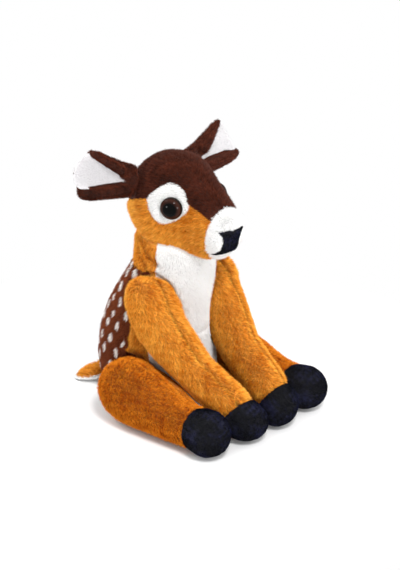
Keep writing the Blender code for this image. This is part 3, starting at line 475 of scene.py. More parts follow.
def grain_group():
    """A fine grain over an object, and the surface that it roughens."""
    group, given = new_group("grain", "ShaderNodeTree", {
        "Scale": "Float", "Detail": "Float", "Strength": "Float", "Distance": "Float"},
        {"Grain": "Float", "Normal": "Vector"})
    noise = placed(group, "ShaderNodeTexNoise", {
        "Vector": placed(group, "ShaderNodeTexCoord")["Object"], "Scale": given["Scale"],
        "Detail": given["Detail"]})["Fac"]
    bump = placed(group, "ShaderNodeBump", {
        "Height": noise, "Strength": given["Strength"], "Distance": given["Distance"]})
    placed(group, "NodeGroupOutput", {"Grain": noise, "Normal": bump["Normal"]})
    return group


pile_shade, grain = pile_shade_group(), grain_group()


def new_material(name, inputs):
    """A new material whose shader gets these inputs, and its nodes."""
    made = bpy.data.materials.new(name)
    made.use_nodes = True
    for socket, value in inputs.items():
        made.node_tree.nodes["Principled BSDF"].inputs[socket].default_value = value
    return made, made.node_tree


def onto_shader(tree, socket, value):
    """Lead a node's output to a material's shader."""
    tree.links.new(value, tree.nodes["Principled BSDF"].inputs[socket])


def pile_material(name, root, variation, sheen, gloss=0.15, roughness=0.8):
    """Plush pile, with painted shade at its roots as dark as the root value says, and as uneven as
    the cloth shows.
    """
    made, tree = new_material(name, {"Roughness": roughness, "Specular IOR Level": gloss,
                                     "Sheen Weight": sheen, "Sheen Roughness": 0.4})
    shade = placed(tree, "ShaderNodeGroup", {"Root": root, "Variation": variation},
                   node_tree=pile_shade)
    onto_shader(tree, "Base Color", shade["Color"])
    return made


def grained(tree, scale, detail, strength, distance):
    """Roughen a material with a grain of its own, and return the grain."""
    own = placed(tree, "ShaderNodeGroup", {
        "Scale": scale, "Detail": detail, "Strength": strength, "Distance": distance},
        node_tree=grain)
    onto_shader(tree, "Normal", own["Normal"])
    return own["Grain"]


# The knitted backing under the pile, seen only between the fibres.
backing, backing_tree = new_material("knitted_backing", {"Roughness": 0.95})
knit = grained(backing_tree, 1400.0, 3.0, 0.4, 0.0005)
knit_light = placed(backing_tree, "ShaderNodeMapRange", {
    "Value": knit, "To Min": 0.55, "To Max": 0.85})["Result"]
onto_shader(backing_tree, "Base Color", combined(
    backing_tree, "SCALE", read_value(backing_tree, "dye")["Color"], knit_light))

# The fibres of plain plush: how many grow on a square metre, how long and thick they are in metres,
# how far they lean over and stray, and how the pile parts into tufts.
PLUSH = {"Density": 2.5e6, "Length": 0.0046, "Width": 0.00030, "Lean": 0.85, "Scatter": 0.34,
         "Tufts": 0.42, "Tuft Scale": 330.0}
SHORTEST, LONGEST = 0.7, 1.1  # of a fibre's length
TUFT_SWING = 4.0  # how far a full tuft bends its fibres' heading
# Where a fibre lies in its cell of the bake map: its root, half its width and the rise to its tip.
CELL_ROOT, CELL_WIDTH, CELL_RISE = (0.44, 0.22), (0.36, 0.16), 0.62


def fibre_tree():
    """Geometry Nodes: closed slim fibres all over a surface, laid over in the direction 'lie' and
    as long as 'nap' says, each with its own spot on the bake map."""
    tree, given = new_group("pile_fibres", "GeometryNodeTree", {
        "Geometry": "Geometry", **dict.fromkeys(PLUSH, "Float"), "Seed": "Int",
        "Material": "Material"}, {"Geometry": "Geometry"})

    def kept(geometry, name, kind, value, domain="POINT"):
        inputs = {"Name": name, "Geometry": geometry, "Value": value}
        return placed(tree, "GeometryNodeStoreNamedAttribute", inputs,
                      data_type=kind, domain=domain)["Geometry"]

    def named(name, kind):
        return placed(tree, "GeometryNodeInputNamedAttribute", {"Name": name},
                      data_type=kind)["Attribute"]

    def chance(low, high):
        return placed(tree, "FunctionNodeRandomValue", {"Min": low, "Max": high},
                      data_type="FLOAT")[1]

    def together(*values):
        return placed(tree, "ShaderNodeCombineXYZ", enumerate(values))[0]

    def parts_of(value):
        return placed(tree, "ShaderNodeSeparateXYZ", {0: value})

    def place():
        return placed(tree, "GeometryNodeInputPosition")[0]

    scattered = placed(tree, "GeometryNodeDistributePointsOnFaces", {
        "Mesh": given["Geometry"], "Density": given["Density"], "Seed": given["Seed"]})

    # One fibre: a three-sided cone one unit tall, which keeps its place within its map cell.
    cone = placed(tree, "GeometryNodeMeshCone", {
        "Vertices": 3, "Side Segments": 1, "Radius Top": 0.0, "Radius Bottom": 1.0, "Depth": 1.0},
        fill_type="NGON")["Mesh"]
    part = parts_of(place())
    across, upward = (calculated(tree, "MULTIPLY_ADD", part[axis], width, root)
                      for axis, width, root in zip("XY", CELL_WIDTH, CELL_ROOT))
    upward = calculated(tree, "MULTIPLY_ADD", part["Z"], CELL_RISE, upward)
    fibre = kept(cone, "tip", "FLOAT", part["Z"])
    fibre = kept(fibre, "spot", "FLOAT_VECTOR", together(across, upward))

    # Its heading: off the cloth, leaning with the pile, with its tuft and a little astray.
    tufts = placed(tree, "ShaderNodeTexNoise", {"Scale": given["Tuft Scale"], "Detail": 1.0})
    wander = combined(tree, "SUBTRACT", tufts["Color"], (0.5, 0.5, 0.5))
    swing = calculated(tree, "MULTIPLY", given["Tufts"], TUFT_SWING)
    wander = combined(tree, "SCALE", wander, swing)
    stray = placed(tree, "FunctionNodeRandomValue", {
        "Min": (-1.0, -1.0, -1.0), "Max": (1.0, 1.0, 1.0), "Seed": given["Seed"]},
        data_type="FLOAT_VECTOR")["Value"]
    stray = combined(tree, "SCALE", stray, given["Scatter"])
    laid = combined(tree, "SCALE", named("lie", "FLOAT_VECTOR"), given["Lean"])
    heading = combined(tree, "ADD", combined(tree, "ADD", scattered["Normal"], laid),
                       combined(tree, "ADD", wander, stray))
    turn = placed(tree, "FunctionNodeAlignRotationToVector", {"Vector": heading}, axis="Z")
    spin = placed(tree, "FunctionNodeAxisAngleToRotation", {"Angle": chance(0.0, math.tau)})
    rolled = placed(tree, "FunctionNodeRotateRotation", {
        "Rotation": turn["Rotation"], "Rotate By": spin["Rotation"]}, rotation_space="LOCAL")
    nap = calculated(tree, "MULTIPLY", named("nap", "FLOAT"), chance(SHORTEST, LONGEST))
    tall = calculated(tree, "MULTIPLY", given["Length"], nap)

    points = kept(scattered["Points"], "root", "FLOAT_VECTOR", place())
    points = kept(points, "tint", "FLOAT", chance(0.0, 1.0))
    points = kept(points, "order", "INT", placed(tree, "GeometryNodeInputIndex")[0])
    planted = placed(tree, "GeometryNodeInstanceOnPoints", {
        "Points": points, "Instance": fibre, "Rotation": rolled["Rotation"],
        "Scale": together(given["Width"], given["Width"], tall)})["Instances"]
    real = placed(tree, "GeometryNodeRealizeInstances", {"Geometry": planted})["Geometry"]

    # The bake map is a square of cells, one for each fibre.
    total = placed(tree, "GeometryNodeAttributeDomainSize", {"Geometry": scattered["Points"]},
                   component="POINTCLOUD")
    cells = calculated(tree, "CEIL", calculated(tree, "SQRT", total["Point Count"]))
    number = named("order", "INT")
    column = calculated(tree, "MODULO", number, cells)
    row = calculated(tree, "FLOOR", calculated(tree, "DIVIDE", number, cells))
    own = parts_of(named("spot", "FLOAT_VECTOR"))
    cell = [calculated(tree, "DIVIDE", calculated(tree, "ADD", first, own[axis]), cells)
            for first, axis in ((column, "X"), (row, "Y"))]
    mapped = kept(real, "OFBake", "FLOAT2", together(*cell), "CORNER")
    dressed = placed(tree, "GeometryNodeSetMaterial", {
        "Geometry": mapped, "Material": given["Material"]})["Geometry"]
    placed(tree, "NodeGroupOutput", {"Geometry": dressed})
    return tree


fibres = fibre_tree()


def fitted(piece, body, slot, *stands_for, bend=None):
    """A piece moves with its body, or, where its cloth is sewn across a joint, is left in place
    with no body.
    """
    if bend:
        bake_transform(piece)
    else:
        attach(piece, body)
    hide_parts(*stands_for)


def pile(name, form, panel, cloth, dye, seed, **settings):
    """The pile of one panel of a stuffed form, planted on the form's faces under that panel. The
    cloth is a material and its slot. A leaf of two panels has two dyes that meet at its border."""
    quads, points = form["quads"], form["points"]
    material, slot = cloth
    mine = (form["nearest"][quads] == form["panels"].index(panel)).sum(axis=1) >= 2
    mine &= form["bare"][quads].sum(axis=1) < 3
    used = np.unique(quads[mine])
    new = np.full(len(points), -1)
    new[used] = np.arange(len(used))
    ground = mesh_of(name, points[used], new[quads[mine]])
    keep_attribute(ground, "lie", "FLOAT_VECTOR", form["lie"][used])
    keep_attribute(ground, "nap", "FLOAT", form["nap"][used])
    if form["border"] is not None:
        keep_attribute(ground, "border", "FLOAT", form["border"][used])
    piece = in_scene(name, ground)
    growth = piece.modifiers.new("growth", "NODES")
    growth.node_group = fibres
    sockets = {item.name: item.identifier for item in fibres.interface.items_tree
               if item.in_out == "INPUT"}
    for key, value in {**PLUSH, "Seed": seed, "Material": material, **settings}.items():
        growth[sockets[key]] = value
    mesh = result_of(piece)
    piece.modifiers.remove(growth)
    piece.data = mesh
    bpy.data.meshes.remove(ground)
    root = rows_of(mesh.attributes["root"].data, "vector")
    if form["border"] is None:
        keep_dye(mesh, dye(root))
    else:
        before = rows_of(mesh.attributes["border"].data, "value", 1) > 0
        keep_dye(mesh, np.where(before, dye[0](root), dye[1](root)))
    place = rows_of(mesh.vertices, "co")
    above = place[:, 2] - place[:, 2].min()
    place[:, 2] = np.maximum(place[:, 2], PILE_OFF_FLOOR + LAYERED * above)
    mesh.vertices.foreach_set("co", place.astype(np.float32).ravel())
    for spare in ("root", "spot", "order", "lie", "nap", "border"):
        if spare in mesh.attributes:
            mesh.attributes.remove(mesh.attributes[spare])
    mesh.update()
    mesh.shade_smooth()
    fitted(piece, form["body"], slot, panel, bend=form["bend"])


def cloth_form(name, form, dyes, fill, slot, *stands_for):
    """The stuffed form itself as a piece."""
    mesh = mesh_of(name, form["points"], form["quads"])
    colour = np.ones((len(form["points"]), 3))
    for index, panel in enumerate(form["panels"]):
        mine = form["nearest"] == index
        if mine.any():
            colour[mine] = dyes[panel](form["points"][mine])
    keep_dye(mesh, colour)
    mesh.materials.append(backing)
    piece = in_scene(name, mesh)
    fitted(piece, form["body"], slot, *stands_for, bend=form["bend"])


WAVES = 9  # that make up one layer of clouds


def clouds(points, waves):
    """Soft uneven waves from about -1 to 1 over space. Each has a scale, a seed and a weight."""
    total = np.zeros(len(points))
    for scale, seed, weight in waves:
        value = np.zeros(len(points))
        for x, y, z, shift in np.random.default_rng(seed).normal(size=(WAVES, 4)):
            value += np.sin((points @ np.array([x, y, z])) * scale + shift * 3)
        total += value / (WAVES / 2) * weight
    return total[:, None]


def clouded_dye(colour, depth, *waves):
    """A dye of one colour, lighter and darker in clouds."""
    def dye(points):
        return np.array(colour) * (1 + depth * clouds(points, waves))
    return dye


def two_tone_dye(deep, light, middle, swing, *waves):
    """A dye that runs between a deep and a light colour in clouds."""
    def dye(points):
        share = np.clip(middle + swing * clouds(points, waves), 0, 1)
        return np.array(deep) + (np.array(light) - np.array(deep)) * share
    return dye


# Painted shade in folds: how much it darkens, its width as a share of the crease's width, and the
# darkest it goes.
FOLD_SHADE, FOLD_SHADE_WIDTH, DARKEST_FOLD = 0.38, 0.6, 0.4


def fold_shaded_dye(dye, creases):
    """Painted shade along the folds: the dye is darkened near each crease line."""
    def with_fold_shade(points):
        light = np.ones(len(points))
        for line, _, width in creases:
            away = near_line(points, line) / (FOLD_SHADE_WIDTH * width)
            light -= FOLD_SHADE * np.exp(-away ** 2)
        return dye(points) * np.maximum(light, DARKEST_FOLD)[:, None]
    return with_fold_shade


def on_left(points):
    """The places of both sides laid onto the left one."""
    return np.column_stack([np.abs(points[:, 0]), points[:, 1:]])


orange_dye = two_tone_dye((0.60, 0.155, 0.004), (1.00, 0.480, 0.066), 0.5, 0.5,
                          (90.0, 3, 0.35), (360.0, 4, 0.35), (1500.0, 14, 0.80))
white_dye = clouded_dye((0.96, 0.955, 0.945), 0.015, (200.0, 5, 1.0))
red_brown_dye = clouded_dye((0.205, 0.050, 0.018), 0.32, (300.0, 8, 0.5), (1500.0, 15, 0.7))

SPOT_COLOUR = (0.95, 0.90, 0.86)
SPOT_ROWS, LOWEST_SPOTS, SPOT_ROW_STEP = 11, 0.016, 0.0122
SPOT_COLUMNS, SPOT_TURN = range(-4, 5), 0.40
SPOT_WIDTHS, SPOT_HEIGHTS = (0.0022, 0.0034), (0.0030, 0.0046)
SPOT_EDGE = (1.0, 1.4)
SPOT_SEED, SPOT_STRAY, SPOT_TILT = 41, (0.05, 0.002), 0.2
BACK_RADIUS, BACK_TAPER, TAPER_FROM = 0.055, 0.12, 0.05
SHOULDER_SPOT, SHOULDER_SPOT_SIZE = (0.0335, -0.0085, 0.1305), (0.0030, 0.0030, 0.0044)


def back_dye(points):
    """Red-brown with scattered white spots, longer than wide, in rough rows down the back, and a
    large one on the tip at each shoulder."""
    chance = np.random.default_rng(SPOT_SEED)
    turn = np.arctan2(points[:, 0], points[:, 1])
    spots = np.zeros(len(points))

    def astray(most):
        return chance.uniform(-most, most)

    for row in range(SPOT_ROWS):
        for column in SPOT_COLUMNS:
            away = (column + (0.5 if row % 2 else 0.0)) * SPOT_TURN + astray(SPOT_STRAY[0])
            level = LOWEST_SPOTS + row * SPOT_ROW_STEP + astray(SPOT_STRAY[1])
            wide, tall = chance.uniform(*SPOT_WIDTHS), chance.uniform(*SPOT_HEIGHTS)
            radius = BACK_RADIUS - BACK_TAPER * max(0.0, level - TAPER_FROM)
            tilt = astray(SPOT_TILT)
            across, up = (turn - away) * radius, points[:, 2] - level
            inside = ((across + up * tilt) / wide) ** 2 + (up / tall) ** 2
            spots = np.maximum(spots, 1 - smoothstep(inside, *SPOT_EDGE))
    inside = (((on_left(points) - SHOULDER_SPOT) / SHOULDER_SPOT_SIZE) ** 2).sum(axis=1)
    spots = np.maximum(spots, 1 - smoothstep(inside, *SPOT_EDGE))
    colour = red_brown_dye(points)
    return colour + (np.array(SPOT_COLOUR) - colour) * spots[:, None]


TORSO_PANELS = ["chest_panel", "belly_panel", "gusset_panel_right", "gusset_panel_left",
                "side_panel_right", "side_panel_left", "back_panel", "neck_panel_right",
                "neck_panel_left"]
BACK_TIP = ((0.0264, 0.0060, 0.1340), (0.0328, -0.0050, 0.1305), (0.0336, -0.0107, 0.1318),
            (0.0336, -0.0180, 0.1328), (0.0316, -0.0232, 0.1322))
BACK_TIP_AT = (-0.0232, -0.0180, -0.0107, 0.0060)
BACK_TIP_WIDTHS = (0.0020, 0.0036, 0.0060, 0.0085)


def with_back_tips(points, normal, gaps):
    """The spotted back runs forward to a point between the neck band and each shoulder."""
    back = TORSO_PANELS.index("back_panel")
    width = np.interp(points[:, 1], BACK_TIP_AT, BACK_TIP_WIDTHS)
    inside = width - near_line(on_left(points), BACK_TIP)
    gaps = np.maximum(gaps, inside)
    gaps[back] = np.where(inside > 0, 0.0, np.minimum(gaps[back], -inside))
    return gaps


# Two eggs of stuffing under each shoulder, and the folds on each side with their depth and width:
# two round the neck and one over the hip.
SHOULDER_EGGS = (
    ((0.0190, -0.0350, 0.1130), (0.0115, 0.0125, 0.0170), (0.0, 0.3, 1.0), (0.0, -1.0, 0.2)),
    ((0.0225, -0.0295, 0.1250), (0.0125, 0.0125, 0.0150), (0.0, 0.3, 1.0), (0.0, -1.0, 0.2)))
TORSO_FOLDS = (
    (((0.0309, -0.0127, 0.1614), (0.0335, -0.0251, 0.1498), (0.0322, -0.0351, 0.1431)),
     0.0048, 0.0030),
    (((0.0300, -0.0060, 0.1580), (0.0338, -0.0170, 0.1452), (0.0320, -0.0230, 0.1390)),
     0.0048, 0.0030),
    (((0.0435, 0.0015, 0.0655), (0.0425, -0.0140, 0.0600), (0.0408, -0.0294, 0.0556)),
     0.0024, 0.0022))


def creases_on(side, folds):
    """Folds given for the left side, put on the side asked for."""
    return [(on_side(side, line), depth, width) for line, depth, width in folds]


torso_creases = [crease for side, _ in SIDES for crease in creases_on(side, TORSO_FOLDS)]
# The torso's orange, with painted shade along its folds.
fold_shaded_orange_dye = fold_shaded_dye(orange_dye, torso_creases)
torso_dyes = {panel: fold_shaded_orange_dye for panel in TORSO_PANELS}
torso_dyes.update(chest_panel=white_dye, belly_panel=white_dye, back_panel=back_dye)
torso = stuffed("torso", TORSO_PANELS, dict.fromkeys(TORSO_PANELS, CLOTH_DEPTH),
                brushed((0.0, -0.12, -1.0)), grid=0.0018, cap=0.0016, creases=torso_creases,
                eggs=[egg_on(side, *egg) for side, _ in SIDES for egg in SHOULDER_EGGS],
                parted=with_back_tips)
cloth_form("torso_form", torso, torso_dyes, 0.85, "orange_plush", "torso_filling", "seat_panel")

white_plush = (pile_material("white_pile", 1.0, 0.03, 0.15), "white_plush")
orange_plush = (pile_material("orange_pile", 0.86, 0.50, 0.03, 0.06), "orange_plush")
red_brown_plush = (pile_material("back_pile", 0.84, 0.34, 0.02, 0.06), "red_brown_plush")

TORSO_CLOTHS = {
    "chest_panel": (white_plush, {"Tufts": 0.2}),
    "belly_panel": (white_plush, {"Tufts": 0.2}),
    "back_panel": (red_brown_plush, {"Density": 1.84e6, "Tufts": 0.15, "Scatter": 0.2}),
}
for seed, panel in enumerate(TORSO_PANELS, start=1):
    cloth, settings = TORSO_CLOTHS.get(panel, (orange_plush, {}))
    pile(panel.replace("panel", "pile"), torso, panel, cloth, torso_dyes[panel], seed, **settings)

# Neck
# The neck's own stuffing is a round plug of pressed fibre inside the torso's neck. A cap of the
# neck's orange cloth is drawn over it, which only shows when the head is moved.
NECK_GRID = 0.0012
filling = bpy.data.meshes.new_from_object(frame["nodes"]["neck_filling"])
plug = in_scene("neck_fibre", mesh_of("neck_fibre", *remeshed(filling, NECK_GRID)[:2]))
keep_dye(plug.data, orange_dye(rows_of(plug.data.vertices, "co")))
plug.data.materials.append(backing)
fitted(plug, "neck", "orange_plush", "neck_filling")

# Head
# A stuffed ball with a long muzzle: a dark brown crown that runs down the nose bridge, orange
# cheeks, white eye patches let into both, a white muzzle and a black nose patch.
HEAD_PANELS = ["crown_panel", "cheek_panel_right", "cheek_panel_left", "eye_patch_right",
               "eye_patch_left", "muzzle_panel", "nose_panel"]
NOSE_SIDE = [(0.0140, 0.1572), (0.0158, 0.1592), (0.0122, 0.1660), (0.0114, 0.1714),
             (0.0130, 0.1776), (0.0195, 0.1848)]
NOSE_OUTLINE = ([(-across, height) for across, height in reversed(NOSE_SIDE)]
                + [(0.0, 0.1590)] + NOSE_SIDE + [(0.0, 0.1832)])
NOSE_FRONT, FAR_OUTSIDE = -0.078, -0.02  # the patch lies before the first
MUZZLE_EGG = ((0.0, -0.0800, 0.1715), (0.0185, 0.0168, 0.0155))

brown_dye = clouded_dye((0.084, 0.020, 0.010), 0.40, (200.0, 6, 0.6), (1300.0, 7, 1.0))
# Black velvet: near black with lighter blue clouds, partly the velvet's own uneven tone and partly
# painted sheen.
velvet_dye_and_sheen = two_tone_dye((0.0008, 0.0010, 0.0038), (0.0185, 0.0200, 0.0600), 0.10, 0.8,
                          (170.0, 9, 0.6), (900.0, 16, 0.6))


def outline_depth(flat, outline):
    """How far points of a flat view lie inside a closed outline; below zero outside it."""
    first = np.array(outline)
    along = np.roll(first, -1, axis=0) - first
    away = from_stretches(flat, first, along).min(axis=1)
    level = flat[:, None, 1]
    spans = (first[:, 1] > level) != (first[:, 1] + along[:, 1] > level)
    height = np.where(along[:, 1] == 0, 1e-12, along[:, 1])
    right = flat[:, None, 0] < along[:, 0] * (level - first[:, 1]) / height + first[:, 0]
    return np.where((spans & right).sum(axis=1) % 2 == 1, away, -away)


def with_nose_patch(points, normal, gaps):
    """The black patch is an anvil: wide under the bridge, narrow below it, flared at the lip."""
    nose, muzzle = HEAD_PANELS.index("nose_panel"), HEAD_PANELS.index("muzzle_panel")
    inside = outline_depth(points[:, [0, 2]], NOSE_OUTLINE)
    inside = np.where(points[:, 1] < NOSE_FRONT, inside, FAR_OUTSIDE)
    gaps = gaps.copy()
    gaps[muzzle] = np.maximum(np.minimum(gaps[muzzle], gaps[nose]), inside)
    gaps[nose] = np.maximum(0.0, -inside)
    return gaps


head_dyes = dict(zip(HEAD_PANELS, (brown_dye, orange_dye, orange_dye, white_dye, white_dye,
                                   white_dye, velvet_dye_and_sheen)))
head_depths = dict(zip(HEAD_PANELS, (0.0024, 0.0024, 0.0024, 0.0018, 0.0018, 0.0024, 0.0012)))
head = stuffed("head", HEAD_PANELS, head_depths, brushed((0.0, 1.0, -0.35), parting=6.0),
               grid=0.0016, cap=0.0012, parted=with_nose_patch, eggs=[egg_on(1, *MUZZLE_EGG)])
cloth_form("head_form", head, head_dyes, 0.9, "orange_plush", "head_filling")

brown_plush = (pile_material("brown_pile", 0.60, 0.80, 0.02, 0.06), "dark_brown_plush")
black_velvet = (pile_material("black_pile", 0.6, 0.6, 0.0, 0.04, roughness=0.5), "black_velvet")
pile("crown_pile", head, "crown_panel", brown_plush, brown_dye, 21, Length=0.0036)
for seed, word in enumerate(("right", "left")):
    pile("cheek_pile_" + word, head, "cheek_panel_" + word, orange_plush, orange_dye, 23 + seed)
    pile("eye_patch_pile_" + word, head, "eye_patch_" + word, white_plush, white_dye, 25 + seed,
         Length=0.0032, Lean=0.8, Tufts=0.15)
pile("muzzle_pile", head, "muzzle_panel", white_plush, white_dye, 27,
     Length=0.0040, Lean=0.8, Tufts=0.15)
pile("nose_pile", head, "nose_panel", black_velvet, velvet_dye_and_sheen, 28,
     Length=0.0013, Width=0.0002, Density=3.5e6)

# Eyes
# Safety eyes: a polished dome of dark brown plastic round a black pupil, whose ribbed shank goes
# through the cloth into a toothed lock washer behind it. Only the domes show.
EYE_TURN = math.radians(63.0)  # how far each eye looks to its side
EYE_RADIUS, EYE_LIFT, EYE_RISE = 0.0100, 0.0007, 0.0066
EYE_FOOT = [(0.0085, -0.0015), (EYE_RADIUS, -0.0006), (EYE_RADIUS, EYE_LIFT)]
EYE_CORNERS, EYE_STEPS = 48, 15
CAD_DOME_DEPTH, CAD_RIM = 0.0068, 0.0095
PUPIL, DARK_EDGE = (0.001, 0.001, 0.001, 1), (0.006, 0.003, 0.002, 1)
EYE_RINGS = ((0.0, PUPIL), (0.56, PUPIL), (0.64, (0.010, 0.004, 0.003, 1)),
             (0.86, (0.034, 0.012, 0.008, 1)), (1.0, DARK_EDGE))


def eye_material():
    """Glossy plastic, coloured by the distance from the middle of the dome."""
    made, tree = new_material("polished_eye", {"Roughness": 0.05, "Specular IOR Level": 0.07})
    ramp = tree.nodes.new("ShaderNodeValToRGB")
    tree.links.new(read_value(tree, "ring")["Fac"], ramp.inputs["Fac"])
    while len(ramp.color_ramp.elements) < len(EYE_RINGS):
        ramp.color_ramp.elements.new(0.5)
    for element, (place, colour) in zip(ramp.color_ramp.elements, EYE_RINGS):
        element.position, element.color = place, colour
    onto_shader(tree, "Base Color", ramp.outputs["Color"])
    return made


polished = eye_material()
for side, word in SIDES:
    corners = rows_of(frame["nodes"]["eye_" + word].data.vertices, "co")
    out = np.array([side * math.sin(EYE_TURN), -math.cos(EYE_TURN), 0.0])
    dome_part = corners[corners @ out > (corners @ out).max() - CAD_DOME_DEPTH]
    seat = dome_part.mean(axis=0)
    rim = dome_part[np.linalg.norm(np.cross(dome_part - seat, out), axis=1) > CAD_RIM]
    seat = seat + out * ((rim @ out).min() - seat @ out - EYE_LIFT)
    across = np.cross(UPRIGHT, out)
    up = np.cross(out, across)
    profile = list(EYE_FOOT)
    for step in range(1, EYE_STEPS):
        angle = step / EYE_STEPS * math.pi / 2
        profile.append((EYE_RADIUS * math.cos(angle), EYE_LIFT + EYE_RISE * math.sin(angle)))
    dome = bmesh.new()
    rings = []
    for radius, height in profile:
        turns = [corner / EYE_CORNERS * math.tau for corner in range(EYE_CORNERS)]
        rings.append([dome.verts.new(seat + out * height + radius * (
            across * math.cos(turn) + up * math.sin(turn))) for turn in turns])
    top = dome.verts.new(seat + out * (EYE_LIFT + EYE_RISE))
    for corner in range(EYE_CORNERS):
        for low, high in zip(rings, rings[1:]):
            dome.faces.new((low[corner - 1], low[corner], high[corner], high[corner - 1]))
        dome.faces.new((rings[-1][corner - 1], rings[-1][corner], top))
    dome.faces.new(rings[0][::-1])
    bmesh.ops.recalc_face_normals(dome, faces=dome.faces)
    mesh = bpy.data.meshes.new("eye_dome_" + word)
    dome.to_mesh(mesh)
    dome.free()
    mesh.shade_smooth()
    from_axis = np.linalg.norm(np.cross(rows_of(mesh.vertices, "co") - seat, out), axis=1)
    keep_attribute(mesh, "ring", "FLOAT", np.clip(from_axis / EYE_RADIUS, 0, 1))
    mesh.materials.append(polished)
    fitted(in_scene("eye_dome_" + word, mesh), "head", "eye_plastic", "eye_" + word)

moulded, moulded_tree = new_material("moulded_washer", {
    "Roughness": 0.4, "Base Color": (0.8, 0.8, 0.78, 1)})
grained(moulded_tree, 900.0, 2.0, 0.1, 0.001)
for _, word in SIDES:
    washer = frame["nodes"]["eye_washer_" + word]
    washer.data.materials.clear()
    washer.data.materials.append(moulded)

# Ears
# Each ear is a leaf of dark brown plush, hardly stuffed, whose edges roll forward round a white
# lining. The leaf is gathered at its root and sewn into the seam of the crown.
EAR_AXIS = (0.942, 0.091, 0.322)
LINING_OUTLINE = ((0.0480, 0.2204), (0.0613, 0.2302), (0.0753, 0.2414), (0.0815, 0.2465),
                  (0.0900, 0.2700), (0.1200, 0.2600), (0.1200, 0.2244), (0.1000, 0.2238),
                  (0.0743, 0.2214))
LINING_POINT = (0.0465, 0.2192)  # the narrow end of the lining, near the root
LEAF_MIDDLE, LEAF_SCALE = (0.075, 0.228), 20
# By the distance from that point: where the hollow starts, how far behind the leaf's middle surface
# it may lie, and how steep its front may be.
HOLLOW_FROM, HOLLOW_REACHES, HOLLOW_LIMITS = 0.042, (0.038, 0.050), (0.0002, 0.0016)
STEEPEST, STEEPNESS_DEPTH = 0.3, 0.005
LOWER_ROLL = ((0.0950, -0.0100, 0.2190, 0.0058), (0.0880, -0.0115, 0.2166, 0.0056),
              (0.0780, -0.0130, 0.2153, 0.0054), (0.0680, -0.0135, 0.2143, 0.0056),
              (0.0580, -0.0135, 0.2133, 0.0060), (0.0490, -0.0130, 0.2123, 0.0064))
UPPER_ROLL = ((0.0805, -0.0040, 0.2495, 0.0030), (0.0718, -0.0065, 0.2432, 0.0038),
              (0.0623, -0.0095, 0.2365, 0.0046), (0.0530, -0.0110, 0.2300, 0.0054))
ROLL_BALLS = 22
ROOT_EGG = ((0.0405, -0.0100, 0.2180), (0.0095, 0.0078, 0.0105))

lining_dye = clouded_dye((0.82, 0.805, 0.815), 0.04, (200.0, 12, 1.0))


def roll_of(line):
    """Close-set balls that make a smooth rolled edge along a line of places and thicknesses."""
    share, marks = np.linspace(0, 1, ROLL_BALLS), np.linspace(0, 1, len(line))
    columns = [np.interp(share, marks, column) for column in zip(*line)]
    return [((x, y, z), (size, size, size)) for x, y, z, size in zip(*columns)]


def with_borders(points, normal, gaps):
    """The lining covers the front of the leaf's hollow, inside its outline. The front is what faces
    forward or, past the gathered root, lies before a smooth surface laid through the leaf."""
    places = np.abs(points[:, 0]), points[:, 2]
    apart, tall = ((place - middle) * LEAF_SCALE for place, middle in zip(places, LEAF_MIDDLE))
    terms = np.column_stack([np.ones(len(points)), apart, tall,
                             apart * tall, apart ** 2, tall ** 2])
    behind = points[:, 1] - terms @ np.linalg.lstsq(terms, points[:, 1], rcond=None)[0]
    reach = np.hypot(places[0] - LINING_POINT[0], places[1] - LINING_POINT[1])
    limit = np.interp(reach, HOLLOW_REACHES, HOLLOW_LIMITS)
    front = np.where(reach > HOLLOW_FROM, limit - behind, FAR_OUTSIDE)
    front = np.maximum((STEEPEST - normal[:, 1]) * STEEPNESS_DEPTH, front)
    inside = np.minimum(outline_depth(np.column_stack(places), LINING_OUTLINE), front)
    return np.stack([np.maximum(0.0, inside), np.maximum(0.0, -inside)])


for side, word in SIDES:
    panels = ["ear_back_" + word, "ear_lining_" + word]
    eggs = [egg_on(side, *egg) for egg in (*roll_of(LOWER_ROLL), *roll_of(UPPER_ROLL), ROOT_EGG)]
    to_the_tip = brushed(Vector(on_side(side, [EAR_AXIS])[0]).normalized())
    ear = stuffed("ear_" + word, panels, {panels[0]: 0.0011, panels[1]: 0.0007}, to_the_tip,
                  grid=0.0012, cap=0, seam_depth=0.0003, relax=9, eggs=eggs, against=head,
                  parted=with_borders)
    two_dyes = (brown_dye, lining_dye)
    cloth_form("ear_form_" + word, ear, dict(zip(panels, two_dyes)), 0.3, "dark_brown_plush",
               panels[0])
    pile("ear_pile_" + word, ear, panels[0], brown_plush, two_dyes, 31 + side,
         Length=0.0030, Density=3.0e6, Tufts=0.2)
    pile("ear_lining_pile_" + word, ear, panels[1], white_plush, two_dyes, 35 + side,
         Length=0.0023, Lean=1.6, Scatter=0.2, Tufts=0.0, Density=3.2e6)

# Front legs
# Sausages of orange plush from the shoulders down to the floor before the belly, each an outer and
# an inner panel joined by a seam down its front, with a cap of black velvet as the hoof.
FRONT_HINGE, FRONT_HOOF = (0.044, -0.034, 0.113), (0.0227, -0.131, 0.020)
BEND_START, BEND_END = (0.045, -0.029, 0.118), (0.0390, -0.0560, 0.0920)
LEG_EGGS = (
    ((0.0345, -0.0455, 0.1060), (0.0155, 0.0150, 0.0255), (0.02, 0.49, 0.87), (0.5, -0.85, 0.1)),
    ((0.0380, -0.0385, 0.1150), (0.0175, 0.0170, 0.0195), (0.0, 0.3, 0.95), (0.5, -0.85, 0.1)))
SEAM_HEIGHTS = (0.0200, 0.0369, 0.0578, 0.0665, 0.0771, 0.0874, 0.0984, 0.1086, 0.1200, 0.1350)
SEAM_APART = (0.0270, 0.0310, 0.0342, 0.0360, 0.0384, 0.0407, 0.0425, 0.0429, 0.0422, 0.0410)
# Painted shade along the front seam: how dark it gets and how wide it is.
SEAM_SHADE, SEAM_SHADE_WIDTH = 0.72, 0.0014
HOOF_CLOTH_DEPTH = 0.0008


